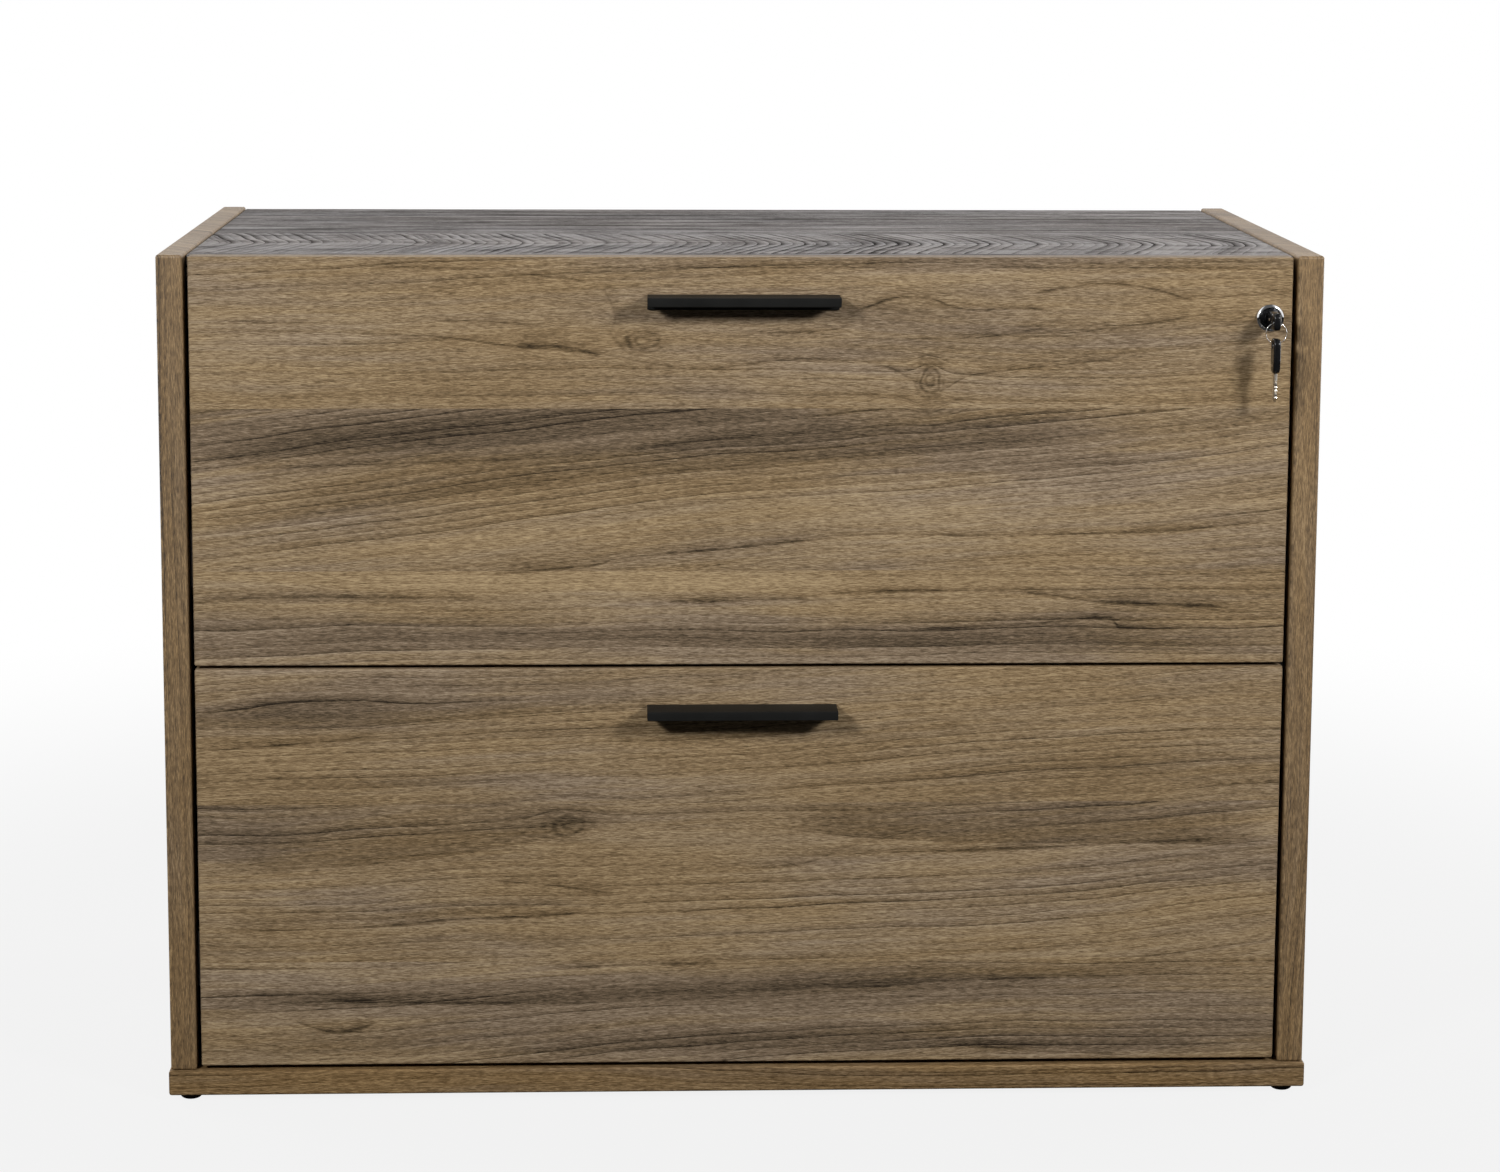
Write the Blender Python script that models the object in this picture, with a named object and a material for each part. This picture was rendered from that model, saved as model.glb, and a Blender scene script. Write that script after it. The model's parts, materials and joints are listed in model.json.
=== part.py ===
"""Two-drawer lateral filing unit: panel case, drawers on ball runners, gang lock and keys.

Units are metres, +Z is up and the drawers open towards -Y. The origin is on the floor,
under the centre of the whole unit.
"""

import math

import bmesh
import bpy
from mathutils import Matrix, Vector

# Case
BASE_WIDTH = 0.9144
BASE_THICKNESS = 0.0203
BASE_SIDE_LEDGE = 0.0017
BASE_FRONT_LEDGE = 0.0020
CASE_HEIGHT = 0.6811
CASE_DEPTH = 0.4570
SIDE_THICKNESS = 0.0205
TOP_THICKNESS = 0.0200
TOP_DROP = 0.0020
BACK_THICKNESS = 0.0060
BACK_INSET = 0.0120
BACK_GROOVE_DEPTH = 0.0080
PANEL_EDGE_RADIUS = 0.0020

# Glides under the base
GLIDE_HEIGHT = 0.0060
GLIDE_RADIUS = 0.0090
GLIDE_EDGE_RADIUS = 0.0035
GLIDE_INSET = 0.0160

# Drawer fronts and the gaps around them
FRONT_THICKNESS = 0.0180
FRONT_SIDE_GAP = 0.0040
FRONT_TOP_GAP = 0.0011
FRONT_MIDDLE_GAP = 0.0028
FRONT_BOTTOM_GAP = 0.0037
FRONT_REAR_GAP = 0.0020
FRONT_EDGE_RADIUS = 0.0015

# Pulls
HANDLE_WIDTH = 0.1500
HANDLE_PROJECTION = 0.0280
HANDLE_DROP = 0.0292
HANDLE_LIP_HEIGHT = 0.0072
HANDLE_FLANGE_HEIGHT = 0.0120
HANDLE_FLANGE_THICKNESS = 0.0020
HANDLE_WALL = 0.0030
HANDLE_EDGE_RADIUS = 0.0008

# Drawer boxes
BOX_WALL = 0.0150
BOX_LIFT = 0.0220
BOX_REAR_CLEARANCE = 0.0105
BOX_LOCK_CLEARANCE = 0.0010
BOTTOM_THICKNESS = 0.0060
BOTTOM_LIFT = 0.0120
BOTTOM_GROOVE_DEPTH = 0.0070
FILE_RAIL_WALL = 0.0015
FILE_RAIL_SKIRT = 0.0140
FILE_RAIL_LIP = 0.0098

# Telescopic runners
RUNNER_WIDTH = 0.0127
RUNNER_HEIGHT = 0.0450
RUNNER_WALL = 0.0010
RUNNER_LIP = 0.0014
RUNNER_LIFT = 0.0600
RUNNER_SETBACK = 0.0037
RUNNER_REAR_MARGIN = 0.0060
MIDDLE_RAIL_SHORTER = 0.0200
CABINET_RAIL_DEPTH = 0.0100
MIDDLE_RAIL_END_GAP = 0.0020
BALL_DIAMETER = 0.0029
BALLS_PER_ROW = 2
CAGE_LENGTH = 0.1500
CAGE_WALL = 0.0007

# Lock in the top drawer front
LOCK_INSET = 0.0176
LOCK_DROP = 0.0475
LOCK_FLANGE_DIAMETER = 0.0222
LOCK_FLANGE_THICKNESS = 0.0025
LOCK_BARREL_DIAMETER = 0.0190
LOCK_BARREL_TAIL = 0.0090
LOCK_PLUG_DIAMETER = 0.0156
LOCK_PLUG_RECESS = 0.0008
LOCK_NUT_ACROSS_FLATS = 0.0240
LOCK_NUT_THICKNESS = 0.0040
CAM_THICKNESS = 0.0020
CAM_HUB_RADIUS = 0.0070
CAM_THROW = 0.0100
CAM_TIP_RADIUS = 0.0035
CAM_PIN_DIAMETER = 0.0040
CAM_PIN_LENGTH = 0.0070

# Lock bar in the right side panel, and the catches that it holds
BAR_WIDTH = 0.0140
BAR_THICKNESS = 0.0030
BAR_SETBACK = 0.0120
BAR_SIDE_CLEARANCE = 0.0004
BAR_END_CLEARANCE = 0.0030
TAB_THICKNESS = 0.0020
TAB_MARGIN = 0.0045
TAB_CAM_GAP = 0.0022
HOOK_REACH = 0.0080
HOOK_LENGTH = 0.0040
HOOK_HEIGHT = 0.0120
HOOK_CATCH_GAP = 0.0010
CATCH_LIFT = 0.0475
CATCH_CLEARANCE = 0.0020
CATCH_HEIGHT = 0.0160
CATCH_REACH = 0.0084
CATCH_WALL = 0.0020
CATCH_FOOT = 0.0200
GUIDE_HEIGHT = 0.0240
GUIDE_WALL = 0.0012
GUIDE_WING = 0.0080

# Keys and their ring
KEY_HEAD_LENGTH = 0.0270
KEY_HEAD_WIDTH = 0.0140
KEY_HEAD_THICKNESS = 0.0055
KEY_NECK_WIDTH = 0.0105
KEY_SHOULDER = 0.0090
KEY_CORNER_RADIUS = 0.0045
KEY_EDGE_RADIUS = 0.0007
KEY_STANDOFF = 0.0022
KEY_HOLE_DIAMETER = 0.0052
KEY_HOLE_INSET = 0.0048
BLADE_LENGTH = 0.0225
BLADE_WIDTH = 0.0070
BLADE_THICKNESS = 0.0022
BLADE_TEETH = 5
BLADE_TOOTH_DEPTH = 0.0016
BLADE_SHANK_SHARE = 0.25
TOOTH_LEAST_SHARE = 0.20
TOOTH_FLAT_SHARE = 0.20
TOOTH_TURN = 2.2
KEYWAY_CLEARANCE = 0.0004
RING_RADIUS = 0.0078
RING_WIRE_DIAMETER = 0.0012

# Gap left between pieces that touch, and how round pieces and edges are faceted
SEAT = 0.0003
ROUND_SEGMENTS = 32
SMALL_SEGMENTS = 16
WIRE_SEGMENTS = 6
BALL_SEGMENTS = 8
BALL_RINGS = 5
ARC_STEPS = 4
SMOOTH_ANGLE = 35
EASED_ANGLE = 40
MERGE_DISTANCE = 1e-6
CARRIER_SIZE = 0.0500

# Colour, roughness and metallic value of each finish
WALNUT = ((0.205, 0.143, 0.084), 0.50, 0.0)
CHARCOAL = ((0.187, 0.174, 0.171), 0.50, 0.0)
BOARD = ((0.330, 0.300, 0.262), 0.60, 0.0)
BLACK_METAL = ((0.016, 0.016, 0.016), 0.45, 0.0)
BLACK_PLASTIC = ((0.012, 0.012, 0.013), 0.40, 0.0)
ZINC = ((0.560, 0.570, 0.580), 0.35, 1.0)
CHROME = ((0.780, 0.780, 0.800), 0.12, 1.0)
ALUMINIUM = ((0.620, 0.620, 0.630), 0.40, 1.0)

# Places that follow from the sizes above
BASE_TOP = GLIDE_HEIGHT + BASE_THICKNESS
SIDE_OUTER = BASE_WIDTH / 2 - BASE_SIDE_LEDGE
SIDE_INNER = SIDE_OUTER - SIDE_THICKNESS
FRONT_WIDTH = 2 * (SIDE_INNER - FRONT_SIDE_GAP)
FRONT_LOWEST = BASE_TOP + FRONT_BOTTOM_GAP
FRONT_HIGHEST = CASE_HEIGHT - FRONT_TOP_GAP
FRONT_HEIGHT = (FRONT_HIGHEST - FRONT_LOWEST - FRONT_MIDDLE_GAP) / 2
UPPER_FRONT_BOTTOM = FRONT_LOWEST + FRONT_HEIGHT + FRONT_MIDDLE_GAP

KEY_FACE = SEAT + LOCK_FLANGE_THICKNESS
KEY_NECK = KEY_FACE + KEY_STANDOFF
RING_FORWARD = KEY_NECK + KEY_HEAD_LENGTH - KEY_HOLE_INSET
KEY_REACH = max(KEY_NECK + KEY_HEAD_LENGTH, RING_FORWARD + KEY_HEAD_WIDTH / 2)
FRONT_Y = (max(KEY_REACH, HANDLE_PROJECTION) - CASE_DEPTH) / 2
REAR_Y = FRONT_Y + CASE_DEPTH
BACK_Y = REAR_Y - BACK_INSET - BACK_THICKNESS

LOCK_X = FRONT_WIDTH / 2 - LOCK_INSET
LOCK_Z = FRONT_HIGHEST - LOCK_DROP
LOCK_NUT_RADIUS = LOCK_NUT_ACROSS_FLATS / 2 / math.cos(math.pi / 6)

BOX_WIDTH = 2 * (SIDE_INNER - RUNNER_WIDTH)
BOX_FRONT_Y = FRONT_Y + FRONT_THICKNESS + SEAT
BOX_REAR_Y = BACK_Y - BOX_REAR_CLEARANCE
BOX_HEIGHT = (
    LOCK_Z - UPPER_FRONT_BOTTOM - LOCK_NUT_RADIUS - BOX_LOCK_CLEARANCE - FILE_RAIL_LIP - BOX_LIFT
)

RUNNER_FRONT_Y = BOX_FRONT_Y + RUNNER_SETBACK
RUNNER_LENGTH = BOX_REAR_Y - RUNNER_REAR_MARGIN - RUNNER_FRONT_Y
BALL_ROOM = BALL_DIAMETER + 2 * SEAT
CAGE_ROOM = CAGE_WALL + 2 * SEAT
MIDDLE_HALF = RUNNER_HEIGHT / 2 - RUNNER_WALL - BALL_ROOM
DRAWER_HALF = MIDDLE_HALF - RUNNER_WALL - BALL_ROOM
CABINET_RAIL_FRONT = SEAT + CABINET_RAIL_DEPTH
MIDDLE_RAIL_BACK = SEAT + RUNNER_WALL + CAGE_ROOM
MIDDLE_RAIL_FRONT = RUNNER_WIDTH - MIDDLE_RAIL_END_GAP
DRAWER_RAIL_TIP = MIDDLE_RAIL_BACK + RUNNER_WALL + CAGE_ROOM
DRAWER_RAIL_WEB = RUNNER_WIDTH - SEAT

CAM_Y = FRONT_Y + FRONT_THICKNESS + LOCK_BARREL_TAIL + 3 * SEAT
TAB_Y = CAM_Y + CAM_THICKNESS + TAB_CAM_GAP
BAR_Y = FRONT_Y + FRONT_THICKNESS + BAR_SETBACK
BAR_X = SIDE_INNER + 2 * SEAT
HOOK_Y = TAB_Y + TAB_THICKNESS + TAB_CAM_GAP
CATCH_Y = HOOK_Y + HOOK_LENGTH + HOOK_CATCH_GAP


def clear_scene():
    for obj in list(bpy.data.objects):
        bpy.data.objects.remove(obj, do_unlink=True)


def world_place(obj):
    """Where an unrotated object stands, added up along its parents."""
    place = Vector((0, 0, 0))
    while obj is not None:
        place = place + obj.location
        obj = obj.parent
    return place


def attach(obj, place, parent):
    bpy.context.scene.collection.objects.link(obj)
    obj.parent = parent
    obj.location = Vector(place) - world_place(parent)


def carrier(name, place, parent=None):
    """An empty on a moving assembly's axis, which carries its pieces."""
    empty = bpy.data.objects.new(name, None)
    empty.empty_display_size = CARRIER_SIZE
    attach(empty, place, parent)
    return empty


def add(name, bm, finish, place, parent=None, smooth=False):
    """An object from a mesh in world coordinates, with its origin moved to place."""
    bmesh.ops.remove_doubles(bm, verts=bm.verts, dist=MERGE_DISTANCE)
    bmesh.ops.recalc_face_normals(bm, faces=bm.faces)
    bmesh.ops.translate(bm, verts=bm.verts, vec=-Vector(place))
    mesh = bpy.data.meshes.new(name)
    bm.to_mesh(mesh)
    bm.free()
    if smooth:
        mesh.shade_smooth()
        mesh.set_sharp_from_angle(angle=math.radians(SMOOTH_ANGLE))
    obj = bpy.data.objects.new(name, mesh)
    attach(obj, place, parent)
    if finish is not None:
        colour, roughness, metallic = finish
        material = bpy.data.materials.new(name + "_finish")
        material.use_nodes = True
        shader = material.node_tree.nodes["Principled BSDF"]
        shader.inputs["Base Color"].default_value = (*colour, 1.0)
        shader.inputs["Roughness"].default_value = roughness
        shader.inputs["Metallic"].default_value = metallic
        mesh.materials.append(material)
    return obj


def middle(low, high):
    return (Vector(low) + Vector(high)) / 2


def box_mesh(low, high):
    bm = bmesh.new()
    bmesh.ops.create_cube(bm, size=1.0)
    size = Vector(high) - Vector(low)
    bmesh.ops.scale(bm, verts=bm.verts, vec=size)
    bmesh.ops.translate(bm, verts=bm.verts, vec=middle(low, high))
    return bm


def cylinder_mesh(start, end, radius, segments=ROUND_SEGMENTS):
    """A round bar between two points."""
    start, end = Vector(start), Vector(end)
    bm = bmesh.new()
    bmesh.ops.create_cone(
        bm,
        cap_ends=True,
        segments=segments,
        radius1=radius,
        radius2=radius,
        depth=(end - start).length,
    )
    turn = (end - start).to_track_quat("Z", "Y").to_matrix().to_4x4()
    bmesh.ops.transform(bm, verts=bm.verts, matrix=Matrix.Translation((start + end) / 2) @ turn)
    return bm


def extrusion_mesh(outline, axis, start, end):
    """A prism along X, Y or Z. The outline holds the other two coordinates, in X, Y, Z order."""
    index = "XYZ".index(axis)

    def corner(point, along):
        values = list(point)
        values.insert(index, along)
        return values

    bm = bmesh.new()
    ring = [bm.verts.new(corner(point, start)) for point in outline]
    face = bm.faces.new(ring)
    lifted = bmesh.ops.extrude_face_region(bm, geom=[face])["geom"]
    moved = [v for v in lifted if isinstance(v, bmesh.types.BMVert)]
    step = Vector((0, 0, 0))
    step[index] = end - start
    bmesh.ops.translate(bm, verts=moved, vec=step)
    return bm


def turned_mesh(profile, place, axis, segments=ROUND_SEGMENTS, closed=False):
    """A profile of (radius, distance along the axis) turned about an axis through place."""
    place = Vector(place)
    along = Vector(axis)
    across = along.orthogonal().normalized()
    bm = bmesh.new()
    verts = [bm.verts.new(place + across * r + along * d) for r, d in profile]
    edges = [bm.edges.new(pair) for pair in zip(verts, verts[1:])]
    if closed:
        edges.append(bm.edges.new((verts[-1], verts[0])))
    bmesh.ops.spin(
        bm,
        geom=verts + edges,
        cent=place,
        axis=along,
        angle=2 * math.pi,
        steps=segments,
        use_merge=True,
    )
    return bm


def arc(centre, radius, first, last, steps=ARC_STEPS):
    """Points on an arc, angles in degrees."""
    angles = [math.radians(first + (last - first) * i / steps) for i in range(steps + 1)]
    return [(centre[0] + radius * math.cos(a), centre[1] + radius * math.sin(a)) for a in angles]


def filleted(points, radii):
    """An outline with each corner replaced by an arc of its own radius."""
    done = []
    for i, (corner, radius) in enumerate(zip(points, radii)):
        corner = Vector(corner)
        before = (Vector(points[i - 1]) - corner).normalized()
        after = (Vector(points[(i + 1) % len(points)]) - corner).normalized()
        half = before.angle(after) / 2
        if radius <= 0:
            done.append(tuple(corner))
            continue
        inward = (before + after).normalized()
        centre = corner + inward * (radius / math.sin(half))
        start = corner + before * (radius / math.tan(half)) - centre
        sweep = start.angle_signed(corner + after * (radius / math.tan(half)) - centre)
        for step in range(ARC_STEPS + 1):
            turn = Matrix.Rotation(-sweep * step / ARC_STEPS, 2)
            done.append(tuple(centre + turn @ start))
    return done


def cutter(name, bm, parent=None):
    """A hidden helper for a Boolean."""
    tool = add(name, bm, None, world_place(parent), parent)
    tool.hide_render = True
    tool.display_type = "WIRE"
    return tool


def combine(obj, tool, operation):
    modifier = obj.modifiers.new(tool.name, "BOOLEAN")
    modifier.operation = operation
    modifier.solver = "EXACT"
    modifier.object = tool


def cut(obj, bm, label):
    combine(obj, cutter(obj.name + "_" + label, bm, obj.parent), "DIFFERENCE")


def fuse(obj, bm, label):
    combine(obj, cutter(obj.name + "_" + label, bm, obj.parent), "UNION")


def ease_edges(obj, radius, segments=3):
    modifier = obj.modifiers.new("eased_edges", "BEVEL")
    modifier.width = radius
    modifier.segments = segments
    modifier.limit_method = "ANGLE"
    modifier.angle_limit = math.radians(EASED_ANGLE)


def panel(name, low, high, finish, parent=None, edge=0.0):
    obj = add(name, box_mesh(low, high), finish, middle(low, high), parent)
    if edge > 0:
        ease_edges(obj, edge)
    return obj


def make_case():
    for name, side in (("left_side_panel", -1), ("right_side_panel", 1)):
        faces = sorted((side * SIDE_INNER, side * SIDE_OUTER))
        low = (faces[0], FRONT_Y, BASE_TOP + SEAT)
        high = (faces[1], REAR_Y, CASE_HEIGHT)
        obj = panel(name, low, high, WALNUT, edge=PANEL_EDGE_RADIUS)
        groove = sorted((side * (SIDE_INNER - SEAT), side * (SIDE_INNER + BACK_GROOVE_DEPTH)))
        low = (groove[0], BACK_Y - SEAT, GLIDE_HEIGHT)
        high = (groove[1], BACK_Y + BACK_THICKNESS + SEAT, CASE_HEIGHT - TOP_DROP - TOP_THICKNESS)
        cut(obj, box_mesh(low, high), "back_groove")
        if side > 0:
            low, high = bar_groove()
            cut(obj, box_mesh(low, high), "bar_groove")

    inner = SIDE_INNER - SEAT
    top = CASE_HEIGHT - TOP_DROP
    low = (-inner, FRONT_Y + FRONT_THICKNESS + FRONT_REAR_GAP, top - TOP_THICKNESS)
    panel("top_panel", low, (inner, REAR_Y, top), CHARCOAL, edge=PANEL_EDGE_RADIUS / 2)

    half = BASE_WIDTH / 2
    low = (-half, FRONT_Y - BASE_FRONT_LEDGE, GLIDE_HEIGHT)
    panel("base_panel", low, (half, REAR_Y, BASE_TOP), WALNUT, edge=PANEL_EDGE_RADIUS)

    half = SIDE_INNER + BACK_GROOVE_DEPTH - SEAT
    low = (-half, BACK_Y, BASE_TOP + SEAT)
    high = (half, BACK_Y + BACK_THICKNESS, top - TOP_THICKNESS - SEAT)
    panel("back_panel", low, high, BOARD)


def make_glides():
    flat = GLIDE_RADIUS - GLIDE_EDGE_RADIUS
    seat = GLIDE_HEIGHT - SEAT
    profile = [(0, 0), *arc((flat, GLIDE_EDGE_RADIUS), GLIDE_EDGE_RADIUS, -90, 0)]
    profile += [(GLIDE_RADIUS, seat), (0, seat)]
    x = BASE_WIDTH / 2 - GLIDE_INSET
    front = FRONT_Y - BASE_FRONT_LEDGE + GLIDE_INSET
    rear = REAR_Y - GLIDE_INSET
    for end, y in (("front", front), ("rear", rear)):
        for hand, sign in (("left", -1), ("right", 1)):
            place = (sign * x, y, 0)
            bm = turned_mesh(profile, place, (0, 0, 1), SMALL_SEGMENTS)
            add(f"glide_{end}_{hand}", bm, BLACK_PLASTIC, place, smooth=True)


def channel(back, front, half, wall, lip=0.0):
    """A C section of (depth, height) points: web at back, flanges to front, lips turned in."""
    inward = math.copysign(wall, front - back)
    lower = [(back, -half), (front, -half)]
    if lip > 0:
        lower += [(front, lip + wall - half), (front - inward, lip + wall - half)]
        lower += [(front - inward, wall - half)]
    else:
        lower += [(front, wall - half)]
    lower += [(back + inward, wall - half)]
    return lower + [(depth, -height) for depth, height in reversed(lower)]


def make_runner(prefix, hand, sign, height, body, stages):
    """One runner: cabinet rail, ball cage, middle rail, ball cage and drawer rail."""

    def section(outline):
        return [(sign * (SIDE_INNER - depth), height + rise) for depth, rise in outline]

    def rail(name, outline, length, carried_by, finish=ZINC, start=RUNNER_FRONT_Y):
        bm = extrusion_mesh(section(outline), "Y", start, start + length)
        place = (sign * SIDE_INNER, start, height)
        return add(f"{prefix}_{hand}_{name}", bm, finish, place, carried_by)

    def cage(name, outline, ball_depth, ball_rise, length_under, carried_by):
        start = RUNNER_FRONT_Y + (length_under - CAGE_LENGTH) / 2
        strip = rail(name, outline, CAGE_LENGTH, carried_by, start=start)
        balls = bmesh.new()
        x = sign * (SIDE_INNER - ball_depth)
        for row in (-1, 1):
            for i in range(BALLS_PER_ROW):
                y = start + CAGE_LENGTH * (i + 0.5) / BALLS_PER_ROW
                spot = Matrix.Translation((x, y, height + row * ball_rise))
                bmesh.ops.create_uvsphere(
                    balls,
                    u_segments=BALL_SEGMENTS,
                    v_segments=BALL_RINGS,
                    radius=BALL_DIAMETER / 2,
                    matrix=spot,
                )
        fuse(strip, balls, "balls")

    half = RUNNER_HEIGHT / 2
    middle_length = RUNNER_LENGTH - MIDDLE_RAIL_SHORTER
    outer_rise = half - RUNNER_WALL - BALL_ROOM / 2
    inner_rise = MIDDLE_HALF - RUNNER_WALL - BALL_ROOM / 2
    outer_web = SEAT + RUNNER_WALL + SEAT
    inner_web = MIDDLE_RAIL_BACK + RUNNER_WALL + SEAT
    outer_arm = CABINET_RAIL_FRONT - RUNNER_WALL - SEAT
    inner_arm = MIDDLE_RAIL_FRONT - SEAT

    cabinet = channel(SEAT, CABINET_RAIL_FRONT, half, RUNNER_WALL, RUNNER_LIP)
    rail("cabinet_rail", cabinet, RUNNER_LENGTH, None)
    outer = channel(outer_web, outer_arm, outer_rise + CAGE_WALL / 2, CAGE_WALL)
    outer_ball = (MIDDLE_RAIL_BACK + outer_arm) / 2
    cage("outer_cage", outer, outer_ball, outer_rise, middle_length, stages["outer_cages"])
    between = channel(MIDDLE_RAIL_BACK, MIDDLE_RAIL_FRONT, MIDDLE_HALF, RUNNER_WALL)
    rail("middle_rail", between, middle_length, stages["middle_rails"])
    inner = channel(inner_web, inner_arm, inner_rise + CAGE_WALL / 2, CAGE_WALL)
    inner_ball = (DRAWER_RAIL_TIP + inner_arm) / 2
    cage("inner_cage", inner, inner_ball, inner_rise, RUNNER_LENGTH, stages["inner_cages"])
    drawer = channel(DRAWER_RAIL_WEB, DRAWER_RAIL_TIP, DRAWER_HALF, RUNNER_WALL)
    rail("drawer_rail", drawer, RUNNER_LENGTH, body)


def make_box(prefix, low, body):
    """Drawer box: grooved walls, a bottom in the grooves and the rails that folders hang on."""
    high = low + BOX_HEIGHT
    half = BOX_WIDTH / 2
    inside = half - BOX_WALL
    groove_low = low + BOTTOM_LIFT - SEAT
    groove_high = low + BOTTOM_LIFT + BOTTOM_THICKNESS + SEAT

    def grooved_wall(inner, outer):
        deep = inner + math.copysign(BOTTOM_GROOVE_DEPTH, outer - inner)
        return [
            (inner, low),
            (outer, low),
            (outer, high),
            (inner, high),
            (inner, groove_high),
            (deep, groove_high),
            (deep, groove_low),
            (inner, groove_low),
        ]

    for hand, sign in (("left", -1), ("right", 1)):
        outline = grooved_wall(sign * inside, sign * half)
        bm = extrusion_mesh(outline, "Y", BOX_FRONT_Y, BOX_REAR_Y)
        place = (sign * half, BOX_FRONT_Y, low)
        add(f"{prefix}_box_{hand}_side", bm, BOARD, place, body)

    wall = inside - SEAT
    ends = (
        ("front", BOX_FRONT_Y, BOX_FRONT_Y + BOX_WALL),
        ("back", BOX_REAR_Y, BOX_REAR_Y - BOX_WALL),
    )
    for end, outer, inner in ends:
        bm = extrusion_mesh(grooved_wall(inner, outer), "X", -wall, wall)
        add(f"{prefix}_box_{end}", bm, BOARD, (0, outer, low), body)
        into = math.copysign(1, inner - outer)
        near = inner + into * SEAT
        far = near + into * FILE_RAIL_WALL
        under = high + SEAT
        over = under + FILE_RAIL_WALL
        outline = [
            (outer, under),
            (near, under),
            (near, high - FILE_RAIL_SKIRT),
            (far, high - FILE_RAIL_SKIRT),
            (far, high + FILE_RAIL_LIP),
            (near, high + FILE_RAIL_LIP),
            (near, over),
            (outer, over),
        ]
        bm = extrusion_mesh(outline, "X", -wall, wall)
        add(f"{prefix}_{end}_file_rail", bm, ALUMINIUM, (0, outer, high), body)

    reach = BOTTOM_GROOVE_DEPTH - SEAT
    corner = (
        -inside - reach,
        BOX_FRONT_Y + BOX_WALL - reach,
        low + BOTTOM_LIFT,
    )
    opposite = (
        inside + reach,
        BOX_REAR_Y - BOX_WALL + reach,
        low + BOTTOM_LIFT + BOTTOM_THICKNESS,
    )
    panel(f"{prefix}_box_bottom", corner, opposite, BOARD, body)


def make_handle(prefix, top, body):
    """A pull: a flange on the drawer front and a ledge, hollow below for the fingers."""
    back = FRONT_Y - SEAT
    front = FRONT_Y - HANDLE_PROJECTION
    lip = top - HANDLE_LIP_HEIGHT
    outline = [
        (back, top),
        (back, top - HANDLE_FLANGE_HEIGHT),
        (back - HANDLE_FLANGE_THICKNESS, top - HANDLE_FLANGE_HEIGHT),
        (back - HANDLE_FLANGE_THICKNESS, lip),
        (front, lip),
        (front, top),
    ]
    bm = extrusion_mesh(outline, "X", -HANDLE_WIDTH / 2, HANDLE_WIDTH / 2)
    obj = add(f"{prefix}_handle", bm, BLACK_METAL, (0, back, top), body)
    ease_edges(obj, HANDLE_EDGE_RADIUS, 2)
    inside = HANDLE_WIDTH / 2 - HANDLE_WALL
    low = (-inside, front + HANDLE_WALL, lip - HANDLE_WALL)
    high = (inside, back - HANDLE_WALL, top - HANDLE_WALL)
    cut(obj, box_mesh(low, high), "trough")


def catch_bottom(front_bottom):
    return front_bottom + BOX_LIFT + RUNNER_LIFT + RUNNER_HEIGHT / 2 + CATCH_LIFT


def make_catch(prefix, front_bottom, body):
    """An angle on the box side whose nose the lock bar's hook holds back."""
    root = BOX_WIDTH / 2 + SEAT
    nose = root + CATCH_REACH
    foot = root + CATCH_WALL
    outline = [
        (root, CATCH_Y),
        (nose, CATCH_Y),
        (nose, CATCH_Y + CATCH_WALL),
        (foot, CATCH_Y + CATCH_WALL),
        (foot, CATCH_Y + CATCH_FOOT),
        (root, CATCH_Y + CATCH_FOOT),
    ]
    low = catch_bottom(front_bottom)
    bm = extrusion_mesh(outline, "Z", low, low + CATCH_HEIGHT)
    add(f"{prefix}_lock_catch", bm, ZINC, (root, CATCH_Y, low), body)


def make_drawer(prefix, front_bottom):
    body = carrier(f"{prefix}_drawer", (0, FRONT_Y, front_bottom))
    half = FRONT_WIDTH / 2
    low = (-half, FRONT_Y, front_bottom)
    high = (half, FRONT_Y + FRONT_THICKNESS, front_bottom + FRONT_HEIGHT)
    front = panel(f"{prefix}_drawer_front", low, high, WALNUT, body, FRONT_EDGE_RADIUS)
    make_box(prefix, front_bottom + BOX_LIFT, body)
    make_handle(prefix, front_bottom + FRONT_HEIGHT - HANDLE_DROP, body)
    make_catch(prefix, front_bottom, body)
    height = front_bottom + BOX_LIFT + RUNNER_LIFT
    stages = {
        stage: carrier(f"{prefix}_{stage}", (0, RUNNER_FRONT_Y, height))
        for stage in ("outer_cages", "middle_rails", "inner_cages")
    }
    for hand, sign in (("left", -1), ("right", 1)):
        make_runner(prefix, hand, sign, height, body, stages)
    return body, front


def lock_point(depth):
    """A point on the lock's axis, at a depth behind the drawer face."""
    return Vector((LOCK_X, FRONT_Y + depth, LOCK_Z))


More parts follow.
